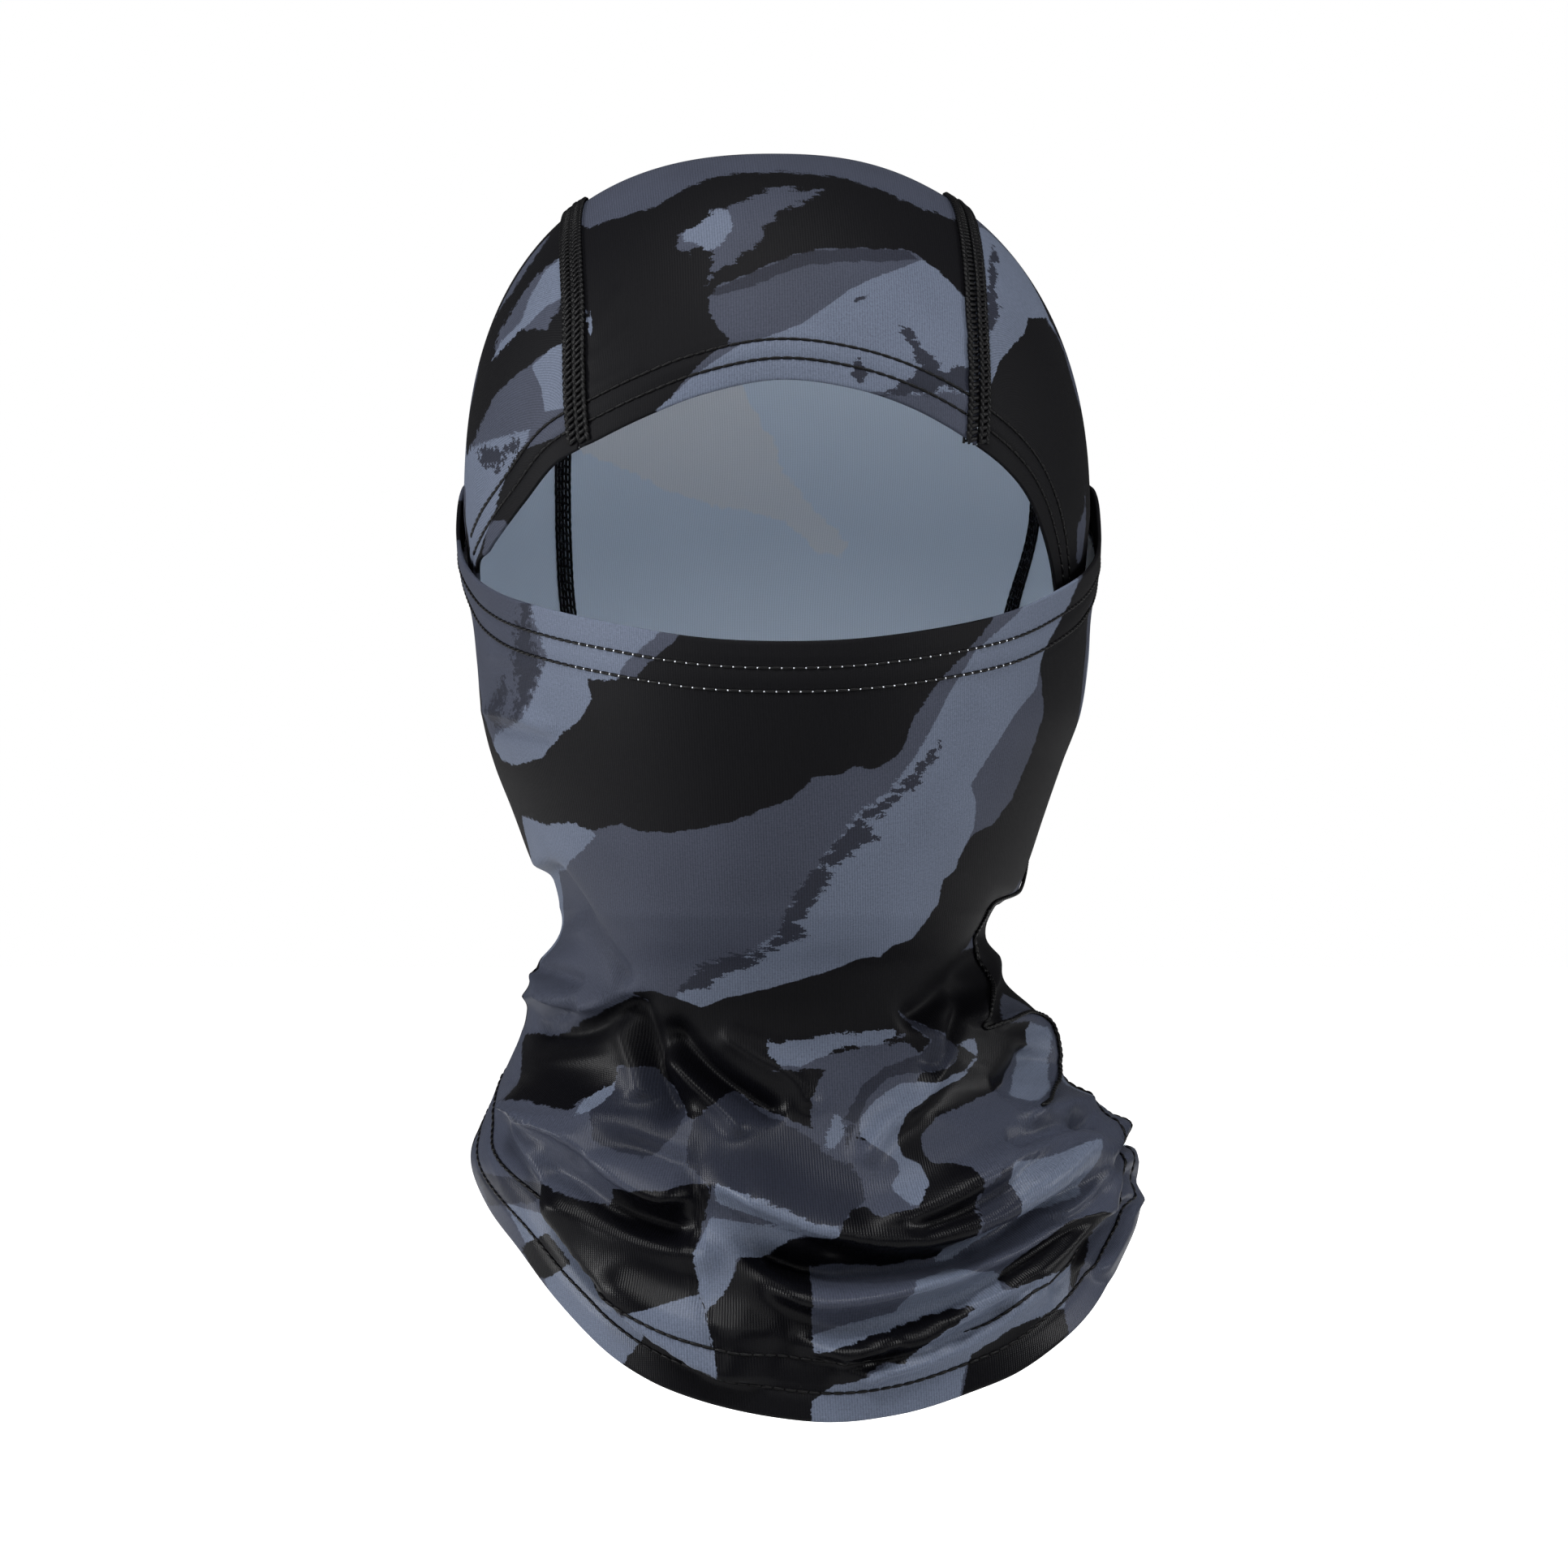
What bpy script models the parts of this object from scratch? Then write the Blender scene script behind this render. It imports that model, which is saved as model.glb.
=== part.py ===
"""Hinged balaclava: a hood of three panels and a front panel whose top part is a pull-down mask.

+Z is up, the face looks along -Y, and left and right are those of someone facing the mask (left is -X).
The origin is the middle of the wearer's head, on the line between the ears.
"""

import bpy
from mathutils import Vector

MM = 0.001

# Driving dimensions, in millimetres.
DOME_CENTRE_Z = 30.0  # above this height the hood closes as a dome
DOME_RISE = 93.0  # from there to the top of the hood
CLOTH = 0.9  # modelled thickness of one layer
LAYER_GAP = 1.3  # free space between the mask and the bib that it slides over
SKIN_GAP = 0.6  # between a panel and the flatlock seam that lies on it
ROW_GAP = 1.2  # between a panel and the stitch rows along its hem
HALF_SLIT = 0.6  # half the slit between two panels that a seam joins
FLATLOCK_WIDTH = 6.6
FLATLOCK_RISE = 0.9
THREAD_WIDTH = 1.0
THREAD_RISE = 0.5
SIDE_SEAM_WIDTH = 2.4
SIDE_SEAM_SETBACK = 3.0
JOIN_GAP = 0.35  # between the bib and the hem's join, which runs under the stitch rows
BROW_ROWS = {"lower": 5.5, "upper": 10.5}  # stitch rows, by their distance from the edge
MASK_ROWS = {"lower": 12.3, "upper": 6.6}
BOTTOM_ROWS = {"lower": 7.0, "upper": 15.0}

# The top of the mask turns about a line through both cheeks.
HINGE_Y = 25.0
HINGE_Z = -45.0

# Sections of the hood: height, half width, depth to the front, depth to the back.
HOOD_SECTIONS = (
    (-160.0, 81.0, 84.0, 76.0),
    (-145.0, 80.0, 80.0, 74.0),
    (-128.0, 76.5, 76.0, 71.0),
    (-112.0, 66.5, 68.0, 67.0),
    (-98.0, 58.5, 62.0, 64.0),
    (-86.0, 52.5, 60.0, 64.0),
    (-75.0, 52.5, 70.0, 67.0),
    (-60.0, 58.0, 80.0, 74.0),
    (-45.0, 65.0, 86.0, 82.0),
    (-25.0, 71.0, 91.0, 90.0),
    (-5.0, 74.5, 93.0, 95.5),
    (12.0, 76.5, 93.0, 98.0),
    (30.0, 79.0, 93.0, 99.0),
)
# Sections of the mask. The bib goes on from it, one layer further in.
MASK_SECTIONS = (
    (-215.0, 88.0, 98.0, 80.0),
    (-193.0, 87.0, 94.0, 80.0),
    (-170.0, 86.0, 90.0, 80.0),
    (-145.0, 84.5, 86.0, 79.0),
    (-128.0, 81.0, 80.0, 76.0),
    (-112.0, 71.0, 73.0, 72.0),
    (-98.0, 63.0, 70.0, 69.0),
    (-86.0, 57.0, 78.0, 69.0),
    (-75.0, 57.0, 93.0, 72.0),
    (-60.0, 62.5, 103.0, 79.0),
    (-45.0, 69.5, 108.0, 87.0),
    (-25.0, 75.5, 112.0, 95.0),
    (-5.0, 79.0, 111.0, 100.5),
    (12.0, 81.0, 108.0, 103.0),
    (40.0, 84.0, 100.0, 104.0),
)
SECTION_POWER = 2.2
DOME_POWER = 2.6
BIB_LAYER = -(CLOTH + LAYER_GAP)
BIB_COLUMNS = 18  # steps from the bib's top to its hem
SIDE_SEAM_ROWS = 16  # how many of them a side seam passes, so that it ends above the hem

# Edges and seams on the +X side, as points in millimetres that wrapped() lays on a layer.
BROW_EDGE = ((0, -90, 59), (18, -89, 57.2), (35, -84, 52), (48.5, -78, 45))
CHEEK_EDGE = (
    (49, -78, 45), (57, -67, 36), (63, -58, 27), (67.5, -49, 15), (69, -44, 0),
    (66, -40, -25), (60, -38, -50), (50, -28, -72),
)
LAP_EDGE = ((50, -28, -72), (55, -14, -90), (72, -10, -110), (79, -10, -128))
CROWN_SEAM = (
    (48.5, -78, 45), (49.5, -66, 80), (49, -38, 103), (48, 0, 112), (52, 42, 103), (59, 72, 74),
    (62, 82, 40), (59, 80, 8), (51, 72, -28), (43, 60, -62), (39, 53, -86), (44, 55, -112), (50, 62, -150),
)
MASK_EDGE = ((0, -111, -4.5), (20, -108, -3.5), (40, -96, 0.3), (55, -80, 4), (67, -60, 8.5))
MASK_FOOT = ((0, -108, -47), (22, -106, -47), (42, -92, -47), (58, -70, -47), (67, -42, -45))
BIB_TOP = (
    (0, -108, -41), (22, -106, -41), (42, -92, -41), (58, -70, -40), (64, -52, -34),
    (66, -57, -12), (67, -58, 8.5), (73, -40, 13), (79, -10, 19.5), (82, 12, 26), (79, 34, 34),
)
BIB_BOTTOM = (
    (0, -94, -193), (12, -93, -192.5), (24, -91, -191), (36, -85, -187), (47, -79, -182),
    (56, -70, -176), (64, -61, -169), (71, -48, -161), (77, -34, -151), (80, -17, -140), (81, 0, -128),
)
BACK_EDGE = ((0, 75, -150), (25, 72, -150), (50, 62, -150), (72, 34, -140), (79, 4, -130))
BIB_SEAM = ((-17, -84, -142), (-19, -88, -158), (-19, -90, -170))
HEM_JOIN = ((6, -93, -180), (8, -94, -191))

UP = Vector((0, 0, 1))
ACROSS = Vector((1, 0, 0))
FORWARD = Vector((0, -1, 0))
OPENING_MIDDLE = Vector((0, -110, 5))

COLOURS = {
    "camo_fabric": ((0.085, 0.094, 0.122), 0.55),
    "thread": ((0.006, 0.006, 0.007), 0.5),
}


def clear_scene():
    for old in list(bpy.data.objects):
        bpy.data.objects.remove(old)


def make_collection():
    group = bpy.data.collections.new("balaclava")
    bpy.context.scene.collection.children.link(group)
    return group


def make_materials():
    made = {}
    for name, (colour, roughness) in COLOURS.items():
        material = bpy.data.materials.new(name)
        material.use_nodes = True
        shader = material.node_tree.nodes["Principled BSDF"]
        shader.inputs["Base Color"].default_value = (*colour, 1)
        shader.inputs["Roughness"].default_value = roughness
        made[name] = material
    return made


def spline(points, t):
    """The point at t, from 0 to 1, of a Catmull-Rom curve through the points."""
    spans = len(points) - 1
    place = min(max(t, 0.0), 1.0) * spans
    i = min(int(place), spans - 1)
    f = place - i
    p1, p2 = Vector(points[i]), Vector(points[i + 1])
    p0 = Vector(points[i - 1]) if i else p1 * 2 - p2
    p3 = Vector(points[i + 2]) if i + 2 <= spans else p2 * 2 - p1
    squared = 2 * p0 - 5 * p1 + 4 * p2 - p3
    cubed = 3 * p1 - p0 - 3 * p2 + p3
    return 0.5 * (2 * p1 + (p2 - p0) * f + squared * f**2 + cubed * f**3)


def section(sections, z):
    """Half width, front depth and back depth at a height."""
    z = min(max(z, sections[0][0]), sections[-1][0])
    for i, (low, high) in enumerate(zip(sections, sections[1:])):
        if z <= high[0]:
            place = (i + (z - low[0]) / (high[0] - low[0])) / (len(sections) - 1)
            widths = [(width, front, back) for _, width, front, back in sections]
            return spline(widths, place)


def wrapped(point, sections, grow=0.0):
    """The point moved out from the garment's middle onto the layer that the sections describe."""
    x, y, z = point
    width, front, back = section(sections, z)
    depth = front if y < 0 else back
    rise = max(z - DOME_CENTRE_Z, 0.0)
    level = (abs(x) / (width + grow)) ** SECTION_POWER + (abs(y) / (depth + grow)) ** SECTION_POWER
    reach = level ** (DOME_POWER / SECTION_POWER) + (rise / (DOME_RISE + grow)) ** DOME_POWER
    scale = reach ** (-1 / DOME_POWER)
    return Vector((x * scale, y * scale, DOME_CENTRE_Z + rise * scale if rise else z))


def curve(points, both_sides=False, offset=(0, 0, 0)):
    """A curve through the points, or one that runs from their mirror image at -X through to +X."""

    def place(t):
        if not both_sides:
            return spline(points, t) + Vector(offset)
        side = spline(points, abs(2 * t - 1)) + Vector(offset)
        return Vector((side.x if t > 0.5 else -side.x, side.y, side.z))

    return place


def mirrored(edge):
    return lambda t: Vector((-edge(t).x, edge(t).y, edge(t).z))


def chained(first, second, share):
    """One curve that runs along first up to t = share, and along second after it."""
    return lambda t: first(t / share) if t < share else second((t - share) / (1 - share))


def part_of(edge, start, end):
    return lambda t: edge(start + (end - start) * t)


def pushed(edge, distance, towards):
    """The edge moved by a distance in the direction that towards gives for each of its points."""
    return lambda t: edge(t) + towards(edge(t)) * distance


def upwards(point):
    return UP


def downwards(point):
    return -UP


def sideways(point):
    return ACROSS


def forwards(point):
    return FORWARD


def away_from_opening(point):
    return (point - OPENING_MIDDLE).normalized()


def patch(edge_a, edge_b, along, across, sections, grow=0.0):
    """Rows of points on a layer between two edges."""
    rows = []
    for i in range(along + 1):
        a, b = edge_a(i / along), edge_b(i / along)
        rows.append([wrapped(a.lerp(b, j / across), sections, grow) for j in range(across + 1)])
    return rows


def ribbon(edge, setback, towards, width, along, sections, grow):
    """Rows for a band that runs along an edge, its middle at the setback from it."""
    near = pushed(edge, setback - width / 2, towards)
    far = pushed(edge, setback + width / 2, towards)
    return patch(near, far, along, 2 if width > 2 * THREAD_WIDTH else 1, sections, grow)


def turn_out(mesh):
    """Flips the faces if they look towards the garment's middle."""
    mesh.update()
    outwards = 0.0
    for face in mesh.polygons:
        middle = Vector((0, 0, min(face.center.z, DOME_CENTRE_Z * MM)))
        outwards += face.area * face.normal.dot(face.center - middle)
    if outwards < 0:
        mesh.flip_normals()


class Builder:
    def __init__(self):
        self.group = make_collection()
        self.materials = make_materials()

    def shell(self, name, rows, material, thickness, side):
        """A sheet through rows of points, thickened inwards (side -1) or outwards (side 1)."""
        across = len(rows[0])
        points = [point * MM for row in rows for point in row]
        faces = []
        for r in range(len(rows) - 1):
            for c in range(across - 1):
                corner = r * across + c
                faces.append((corner, corner + 1, corner + across + 1, corner + across))
        mesh = bpy.data.meshes.new(name)
        mesh.from_pydata(points, [], faces)
        mesh.materials.append(self.materials[material])
        turn_out(mesh)
        mesh.shade_smooth()
        part = bpy.data.objects.new(name, mesh)
        self.group.objects.link(part)
        cloth = part.modifiers.new("cloth", "SOLIDIFY")
        cloth.thickness = thickness * MM
        cloth.offset = side
        return part

    def panel(self, name, rows):
        return self.shell(name, rows, "camo_fabric", CLOTH, -1)

    def thread(self, name, rows, rise=THREAD_RISE):
        return self.shell(name, rows, "thread", rise, 1)


def add_hood(build):
    seam = curve(CROWN_SEAM)
    inner = curve(CROWN_SEAM, offset=(-HALF_SLIT, 0, 0))
    outer = curve(CROWN_SEAM, offset=(HALF_SLIT, 0, 0))
    crown = patch(mirrored(inner), inner, 40, 8, HOOD_SECTIONS)
    brow = curve(BROW_EDGE, both_sides=True)
    crown[0] = [wrapped(brow(0.005 + 0.99 * j / 8), HOOD_SECTIONS) for j in range(9)]
    crown[1] = [(crown[0][j] + crown[2][j]) / 2 for j in range(9)]
    crown[1] = [wrapped(point, HOOD_SECTIONS) for point in crown[1]]
    build.panel("crown_panel", crown)
    front_edge = chained(curve(CHEEK_EDGE), curve(LAP_EDGE), 0.6)
    for side in ("left", "right"):
        turn = mirrored if side == "left" else lambda edge: edge
        build.panel(f"side_panel_{side}", patch(turn(outer), turn(front_edge), 40, 8, HOOD_SECTIONS))
        sewn = part_of(turn(seam), 0.05, 0.925)
        half = FLATLOCK_WIDTH / 2
        rows = patch(pushed(sewn, -half, sideways), pushed(sewn, half, sideways), 35, 2, HOOD_SECTIONS, SKIN_GAP)
        build.thread(f"crown_seam_{side}", rows, FLATLOCK_RISE)
    opening = curve(BROW_EDGE + CHEEK_EDGE[1:6], both_sides=True)
    for row, setback in BROW_ROWS.items():
        rows = ribbon(opening, setback, away_from_opening, THREAD_WIDTH, 44, HOOD_SECTIONS, ROW_GAP)
        build.thread(f"brow_stitch_{row}", rows)
    back = curve(BACK_EDGE, both_sides=True)
    for row, setback in BOTTOM_ROWS.items():
        rows = ribbon(back, setback, upwards, THREAD_WIDTH, 28, HOOD_SECTIONS, ROW_GAP)
        build.thread(f"back_hem_stitch_{row}", rows)


def add_bib(build):
    top = curve(BIB_TOP, both_sides=True)
    bottom = curve(BIB_BOTTOM, both_sides=True)
    build.panel("bib", patch(top, bottom, 44, BIB_COLUMNS, MASK_SECTIONS, BIB_LAYER))
    on_bib = BIB_LAYER + ROW_GAP
    for row, setback in BOTTOM_ROWS.items():
        rows = ribbon(bottom, setback, upwards, THREAD_WIDTH, 44, MASK_SECTIONS, on_bib)
        build.thread(f"front_hem_stitch_{row}", rows)
    half_hem = curve((BIB_TOP[-1], BIB_BOTTOM[-1]))
    for side in ("left", "right"):
        turn = mirrored if side == "left" else lambda edge: edge
        seam = part_of(turn(half_hem), 0, SIDE_SEAM_ROWS / BIB_COLUMNS)
        rows = ribbon(seam, SIDE_SEAM_SETBACK, forwards, SIDE_SEAM_WIDTH, SIDE_SEAM_ROWS, MASK_SECTIONS, on_bib)
        build.thread(f"side_seam_{side}", rows)
    rows = ribbon(curve(BIB_SEAM), 0, sideways, THREAD_WIDTH, 4, MASK_SECTIONS, on_bib)
    build.thread("bib_seam", rows)
    rows = ribbon(curve(HEM_JOIN), 0, sideways, THREAD_WIDTH, 2, MASK_SECTIONS, BIB_LAYER + JOIN_GAP)
    build.thread("hem_join", rows)


def add_mask(build):
    edge = curve(MASK_EDGE, both_sides=True)
    foot = curve(MASK_FOOT, both_sides=True)
    build.panel("mask", patch(edge, foot, 32, 6, MASK_SECTIONS))
    for row, setback in MASK_ROWS.items():
        rows = ribbon(edge, setback, downwards, THREAD_WIDTH, 32, MASK_SECTIONS, ROW_GAP)
        build.thread(f"mask_stitch_{row}", rows)


def main():
    clear_scene()
    build = Builder()
    add_hood(build)
    add_bib(build)
    add_mask(build)


main()
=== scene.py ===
"""Scene of the hinged balaclava: stretch-knit panels with a brush-stroke print, sewn with black thread.

Lengths are in millimetres in the garment's frame and turn into metres when a mesh is made.
The print and the folds are laid out on a plane through the origin, as seen from SIGHT in front of the face.
"""

import math

import bpy
import numpy as np
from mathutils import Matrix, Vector, noise


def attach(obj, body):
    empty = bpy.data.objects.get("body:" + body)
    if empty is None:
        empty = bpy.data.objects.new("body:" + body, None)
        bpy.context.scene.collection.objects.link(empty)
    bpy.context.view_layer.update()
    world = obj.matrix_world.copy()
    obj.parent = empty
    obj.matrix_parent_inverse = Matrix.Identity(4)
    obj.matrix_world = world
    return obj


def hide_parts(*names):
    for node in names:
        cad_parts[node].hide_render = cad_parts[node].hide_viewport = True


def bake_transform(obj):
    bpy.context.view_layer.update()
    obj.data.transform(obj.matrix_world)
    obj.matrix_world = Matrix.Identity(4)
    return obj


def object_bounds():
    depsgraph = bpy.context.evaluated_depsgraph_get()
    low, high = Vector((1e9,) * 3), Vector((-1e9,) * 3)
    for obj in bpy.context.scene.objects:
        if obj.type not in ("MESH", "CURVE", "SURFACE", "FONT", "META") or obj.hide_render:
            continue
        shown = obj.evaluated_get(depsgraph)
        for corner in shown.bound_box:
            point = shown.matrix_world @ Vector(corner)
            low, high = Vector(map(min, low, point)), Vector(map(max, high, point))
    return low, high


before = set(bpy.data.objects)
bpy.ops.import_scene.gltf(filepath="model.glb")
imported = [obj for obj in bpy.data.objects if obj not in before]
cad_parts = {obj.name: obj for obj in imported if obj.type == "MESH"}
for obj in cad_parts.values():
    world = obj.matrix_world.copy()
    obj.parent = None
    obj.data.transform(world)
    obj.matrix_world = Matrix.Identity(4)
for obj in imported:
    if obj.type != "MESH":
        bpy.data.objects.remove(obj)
cad_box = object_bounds()

MM = 0.001

# Sections of the two layers: height, left half width, right half width, front depth, back depth.
HOOD_SECTIONS = (
    (-160, 80, 84, 84, 76), (-145, 77, 86, 80, 74), (-128, 75, 84, 75, 71), (-112, 65, 67, 68, 67),
    (-98, 58.5, 58.5, 62, 64), (-86, 52.5, 52.5, 60, 64), (-75, 52.5, 52.5, 70, 67), (-60, 58, 58, 80, 74),
    (-45, 65, 65, 86, 82), (-25, 72, 72, 91, 90), (-5, 76.5, 76, 93, 95.5), (12, 79, 78, 93, 98),
    (30, 80.7, 79.6, 93, 99),
)
FRONT_SECTIONS = (
    (-215, 74, 112, 98, 80), (-193, 74, 110, 95.5, 80), (-175, 74, 107, 93, 80), (-159, 75.5, 97, 90, 80),
    (-145, 77.5, 92, 86, 79), (-133, 78.8, 91, 82, 77), (-121, 74, 80, 77, 74), (-114, 71, 73, 75, 72),
    (-102, 66, 70, 73, 70), (-96, 64.5, 65, 74, 69), (-89.6, 63, 58, 77, 69), (-83, 60, 56, 81, 70),
    (-77, 57, 56.5, 89, 71), (-71, 58, 59.5, 96, 73), (-58, 63.5, 64, 104, 79), (-46, 68, 68, 108.5, 86),
    (-33, 73, 72.5, 111, 92), (-21, 76, 77, 112, 96), (-8, 77.2, 79, 111.5, 99.5),
     (4, 78.6, 79.8, 109.5, 102),
    (17, 81.7, 81.8, 106, 103), (40, 83, 82.5, 100, 104),
)
SECTION_POWER = 2.2
DOME_POWER = 2.5  # of the left side; the right side is a little flatter
RIGHT_DOME_POWER = 2.26
DOME_CENTRE_Z = 30.0
DOME_RISE = 92.0
SIGHT = 1600.0  # the print plane's eye stands this far in front of the origin
EYE_X, EYE_Z = 1.25, -38.7

CLOTH = 0.45
HEM_DEPTH = 13.0
HEM_GAP = 1.05  # between the two layers of a hem, middle to middle
HEM_SWELL = 0.35
STITCH_PULL = 0.42  # how deep a stitch row draws its hem in
FLAP_STEPS = 9
SEWN_RISE = 1.25  # of the front cloth over the hood where it is sewn on
SWELL = 1.4  # the folds' heights as built over those listed
FOLD_POWER = 1.7
FOLD_DROP = 0.55  # how far a fold sags, as a share of its height
RIB_PITCH = 0.66
COURSE_PITCH = 0.5
CROWN_LENGTH = 455.0
FRONT_LENGTH = 205.0
SIDE_SPAN = 100.0
AMBIENT = 0.09  # the white room's light on the object
CAMERA_LENS = 143.1

# Edges in the garment's frame, as places that are then laid on their layer.
BROW_EDGE = (
    (-49, -78, 43.5), (-43.8, -81, 45.5), (-30.5, -86, 51), (-18, -89, 55.5), (0, -90, 59), (18, -89, 57.2),
    (33, -85, 52.5), (49, -78, 44.5),
)
CHEEK_RIGHT = (
    (49, -78, 44.5), (56, -68, 37.5), (60.5, -61, 31), (65, -54, 21), (67.8, -49, 12), (69, -44, 0),
    (66, -40, -25), (60, -38, -50), (50, -28, -72),
)
CHEEK_LEFT = (
    (-49, -78, 43.5), (-54.5, -70, 39), (-60.5, -61, 31), (-66, -53, 25), (-72.5, -44, 19.5),
     (-77.5, -32, 14),
    (-76, -34, -10), (-66, -38, -45), (-50, -28, -72),
)
LAP_EDGE = ((50, -28, -72), (55, -14, -90), (72, -10, -110), (79, -10, -128))
# The crown seams, from the brow over the crown to the hem at the back.
SEAMS = {
    "left": (
        (-49, -78, 44.5), (-51, -66, 80), (-53, -38, 103), (-53, 0, 111), (-55, 42, 102), (-61, 70, 74),
        (-65, 80, 40), (-62, 77, 8), (-53, 71, -28), (-43, 60, -62), (-39, 53, -86), (-44, 55, -112),
         (-50, 62, -150),
    ),
    "right": (
        (49, -78, 44.5), (50, -66, 80), (48, -38, 103), (46, 0, 112), (52, 40, 103), (64, 58, 74),
         (71, 57, 45),
        (68.5, 57, 27), (63, 63, 7), (55, 67, -28), (43, 60, -62), (39, 53, -86), (44, 55, -112),
         (50, 62, -150),
    ),
}
MASK_TOP = (
    (-78, 36, 44), (-81, 14, 37), (-81, -8, 26), (-76, -36, 14.5), (-69, -57, 8.8), (-55, -80, 4),
    (-40, -96, 0.3), (-20, -108, -3.4), (0, -111, -4.5), (20, -108, -3.7), (40, -96, -0.6), (55, -80, 3.4),
    (67, -60, 9.2), (75, -38, 15), (81, -8, 24.5), (82, 12, 36), (79, 36, 43),
)
MASK_BOTTOM = (
    (-76, 12, -120), (-78, -8, -131), (-73.5, -30, -143.5), (-64.5, -50, -153.5), (-54.5, -66, -165.5),
    (-43.5, -80, -176.5), (-33, -88, -183), (-21.5, -92, -187.2), (-7.8, -94, -190.5), (5.8, -95, -192.5),
    (15.7, -95, -192.8), (25.5, -94.5, -191.8), (35.3, -93, -190), (47.3, -90, -186.5), (59.5, -84, -182),
    (69.8, -75, -175), (77.5, -64, -167.5), (83, -50, -158.8), (87, -32, -148), (90.5, -12, -134),
     (86, 10, -122),
)


def spline(points, t):
    """Points at t, an array from 0 to 1, of a Catmull-Rom curve."""
    points = np.asarray(points, float)
    spans = len(points) - 1
    place = np.clip(t, 0, 1) * spans
    i = np.minimum(place.astype(int), spans - 1)
    f = (place - i)[..., None]
    p1, p2 = points[i], points[i + 1]
    p0 = np.where((i > 0)[..., None], points[np.maximum(i - 1, 0)], 2 * p1 - p2)
    p3 = np.where((i + 2 <= spans)[..., None], points[np.minimum(i + 2, spans)], 2 * p2 - p1)
    squared = 2 * p0 - 5 * p1 + 4 * p2 - p3
    cubed = 3 * p1 - p0 - 3 * p2 + p3
    return 0.5 * (2 * p1 + (p2 - p0) * f + squared * f**2 + cubed * f**3)


def lengths(points):
    """Distance along a run of points, from its first."""
    steps = np.linalg.norm(np.diff(points, axis=0), axis=1)
    return np.concatenate([[0], np.cumsum(steps)])


def even(points, t):
    """Points at t of the curve, with t by length along it."""
    fine = np.linspace(0, 1, 600)
    along = lengths(spline(points, fine))
    return spline(points, np.interp(np.asarray(t) * along[-1], along, fine))


def smooth(low, high, value):
    t = np.clip((value - low) / (high - low), 0, 1)
    return t * t * (3 - 2 * t)


def unit(vectors):
    return vectors / np.maximum(np.linalg.norm(vectors, axis=-1, keepdims=True), 1e-9)


def section(sections, z):
    """Left and right half width, front depth and back depth at each height."""
    table = np.asarray(sections, float)
    place = np.interp(z, table[:, 0], np.linspace(0, 1, len(table)))
    return np.moveaxis(spline(table[:, 1:], place), -1, 0)


def wrapped(points, sections):
    """Each point moved out from the garment's middle onto the layer that the sections describe."""
    x, y, z = np.moveaxis(points, -1, 0)
    left, right, front, back = section(sections, z)
    blend = smooth(-12, 12, x)
    width = left + (right - left) * blend
    depth = np.where(y < 0, front, back)
    rise = np.maximum(z - DOME_CENTRE_Z, 0)
    level = (np.abs(x) / width) ** SECTION_POWER + (np.abs(y) / depth) ** SECTION_POWER
    power = DOME_POWER + (RIGHT_DOME_POWER - DOME_POWER) * smooth(-20, 40, x)
    reach = level ** (power / SECTION_POWER) + (rise / DOME_RISE) ** power
    scale = reach ** (-1 / power)
    height = np.where(rise > 0, DOME_CENTRE_Z + rise * scale, z)
    return np.stack([x * scale, y * scale, height], axis=-1)


def on_plane(points):
    """Where each point is seen on the print plane."""
    zoom = SIGHT / (SIGHT + points[..., 1])
    x = EYE_X + (points[..., 0] - EYE_X) * zoom
    z = EYE_Z + (points[..., 2] - EYE_Z) * zoom
    return np.stack([x, z], axis=-1)


def to_line(spots, line):
    """Signed distance from each spot to a line on the plane, and the share of the way along."""
    best = np.full(len(spots), 1e9)
    side = np.zeros(len(spots))
    share = np.zeros(len(spots))
    along = lengths(line)
    for i in range(len(line) - 1):
        a, step = line[i], line[i + 1] - line[i]
        size = max(float(step @ step), 1e-9)
        t = np.clip(((spots - a) @ step) / size, 0, 1)
        apart = spots - (a + t[:, None] * step)
        distance = np.linalg.norm(apart, axis=1)
        near = distance < best
        cross = step[0] * apart[:, 1] - step[1] * apart[:, 0]
        best = np.where(near, distance, best)
        side = np.where(near, np.sign(cross), side)
        share = np.where(near, (along[i] + t * (along[i + 1] - along[i])) / along[-1], share)
    return best * side, share


def within_box(spots, line, reach):
    """Which spots lie no further than reach outside the box round a line."""
    return (spots > line.min(axis=0) - reach).all(axis=1) & (spots < line.max(axis=0) + reach).all(axis=1)


def fold_relief(spots, folds):
    """Height and drop of the cloth at each spot. A fold: line, height, width above, width below."""
    height = np.zeros(len(spots))
    drop = np.zeros(len(spots))
    for line, rise, above, below in folds:
        path = spline(np.asarray(line, float), np.linspace(0, 1, 8 * len(line)))
        reach = 3.2 * max(above, below)
        box = within_box(spots, path, reach)
        if not box.any():
            continue
        away, share = to_line(spots[box], path)
        width = np.where(away > 0, above, below)
        ends = smooth(0, 0.14, share) * smooth(0, 0.14, 1 - share)
        shape = rise * np.exp(-(np.abs(away / width) ** FOLD_POWER)) * ends
        height[box] += shape * SWELL
        drop[box] += np.maximum(shape, 0) * FOLD_DROP
    return height, drop


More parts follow.
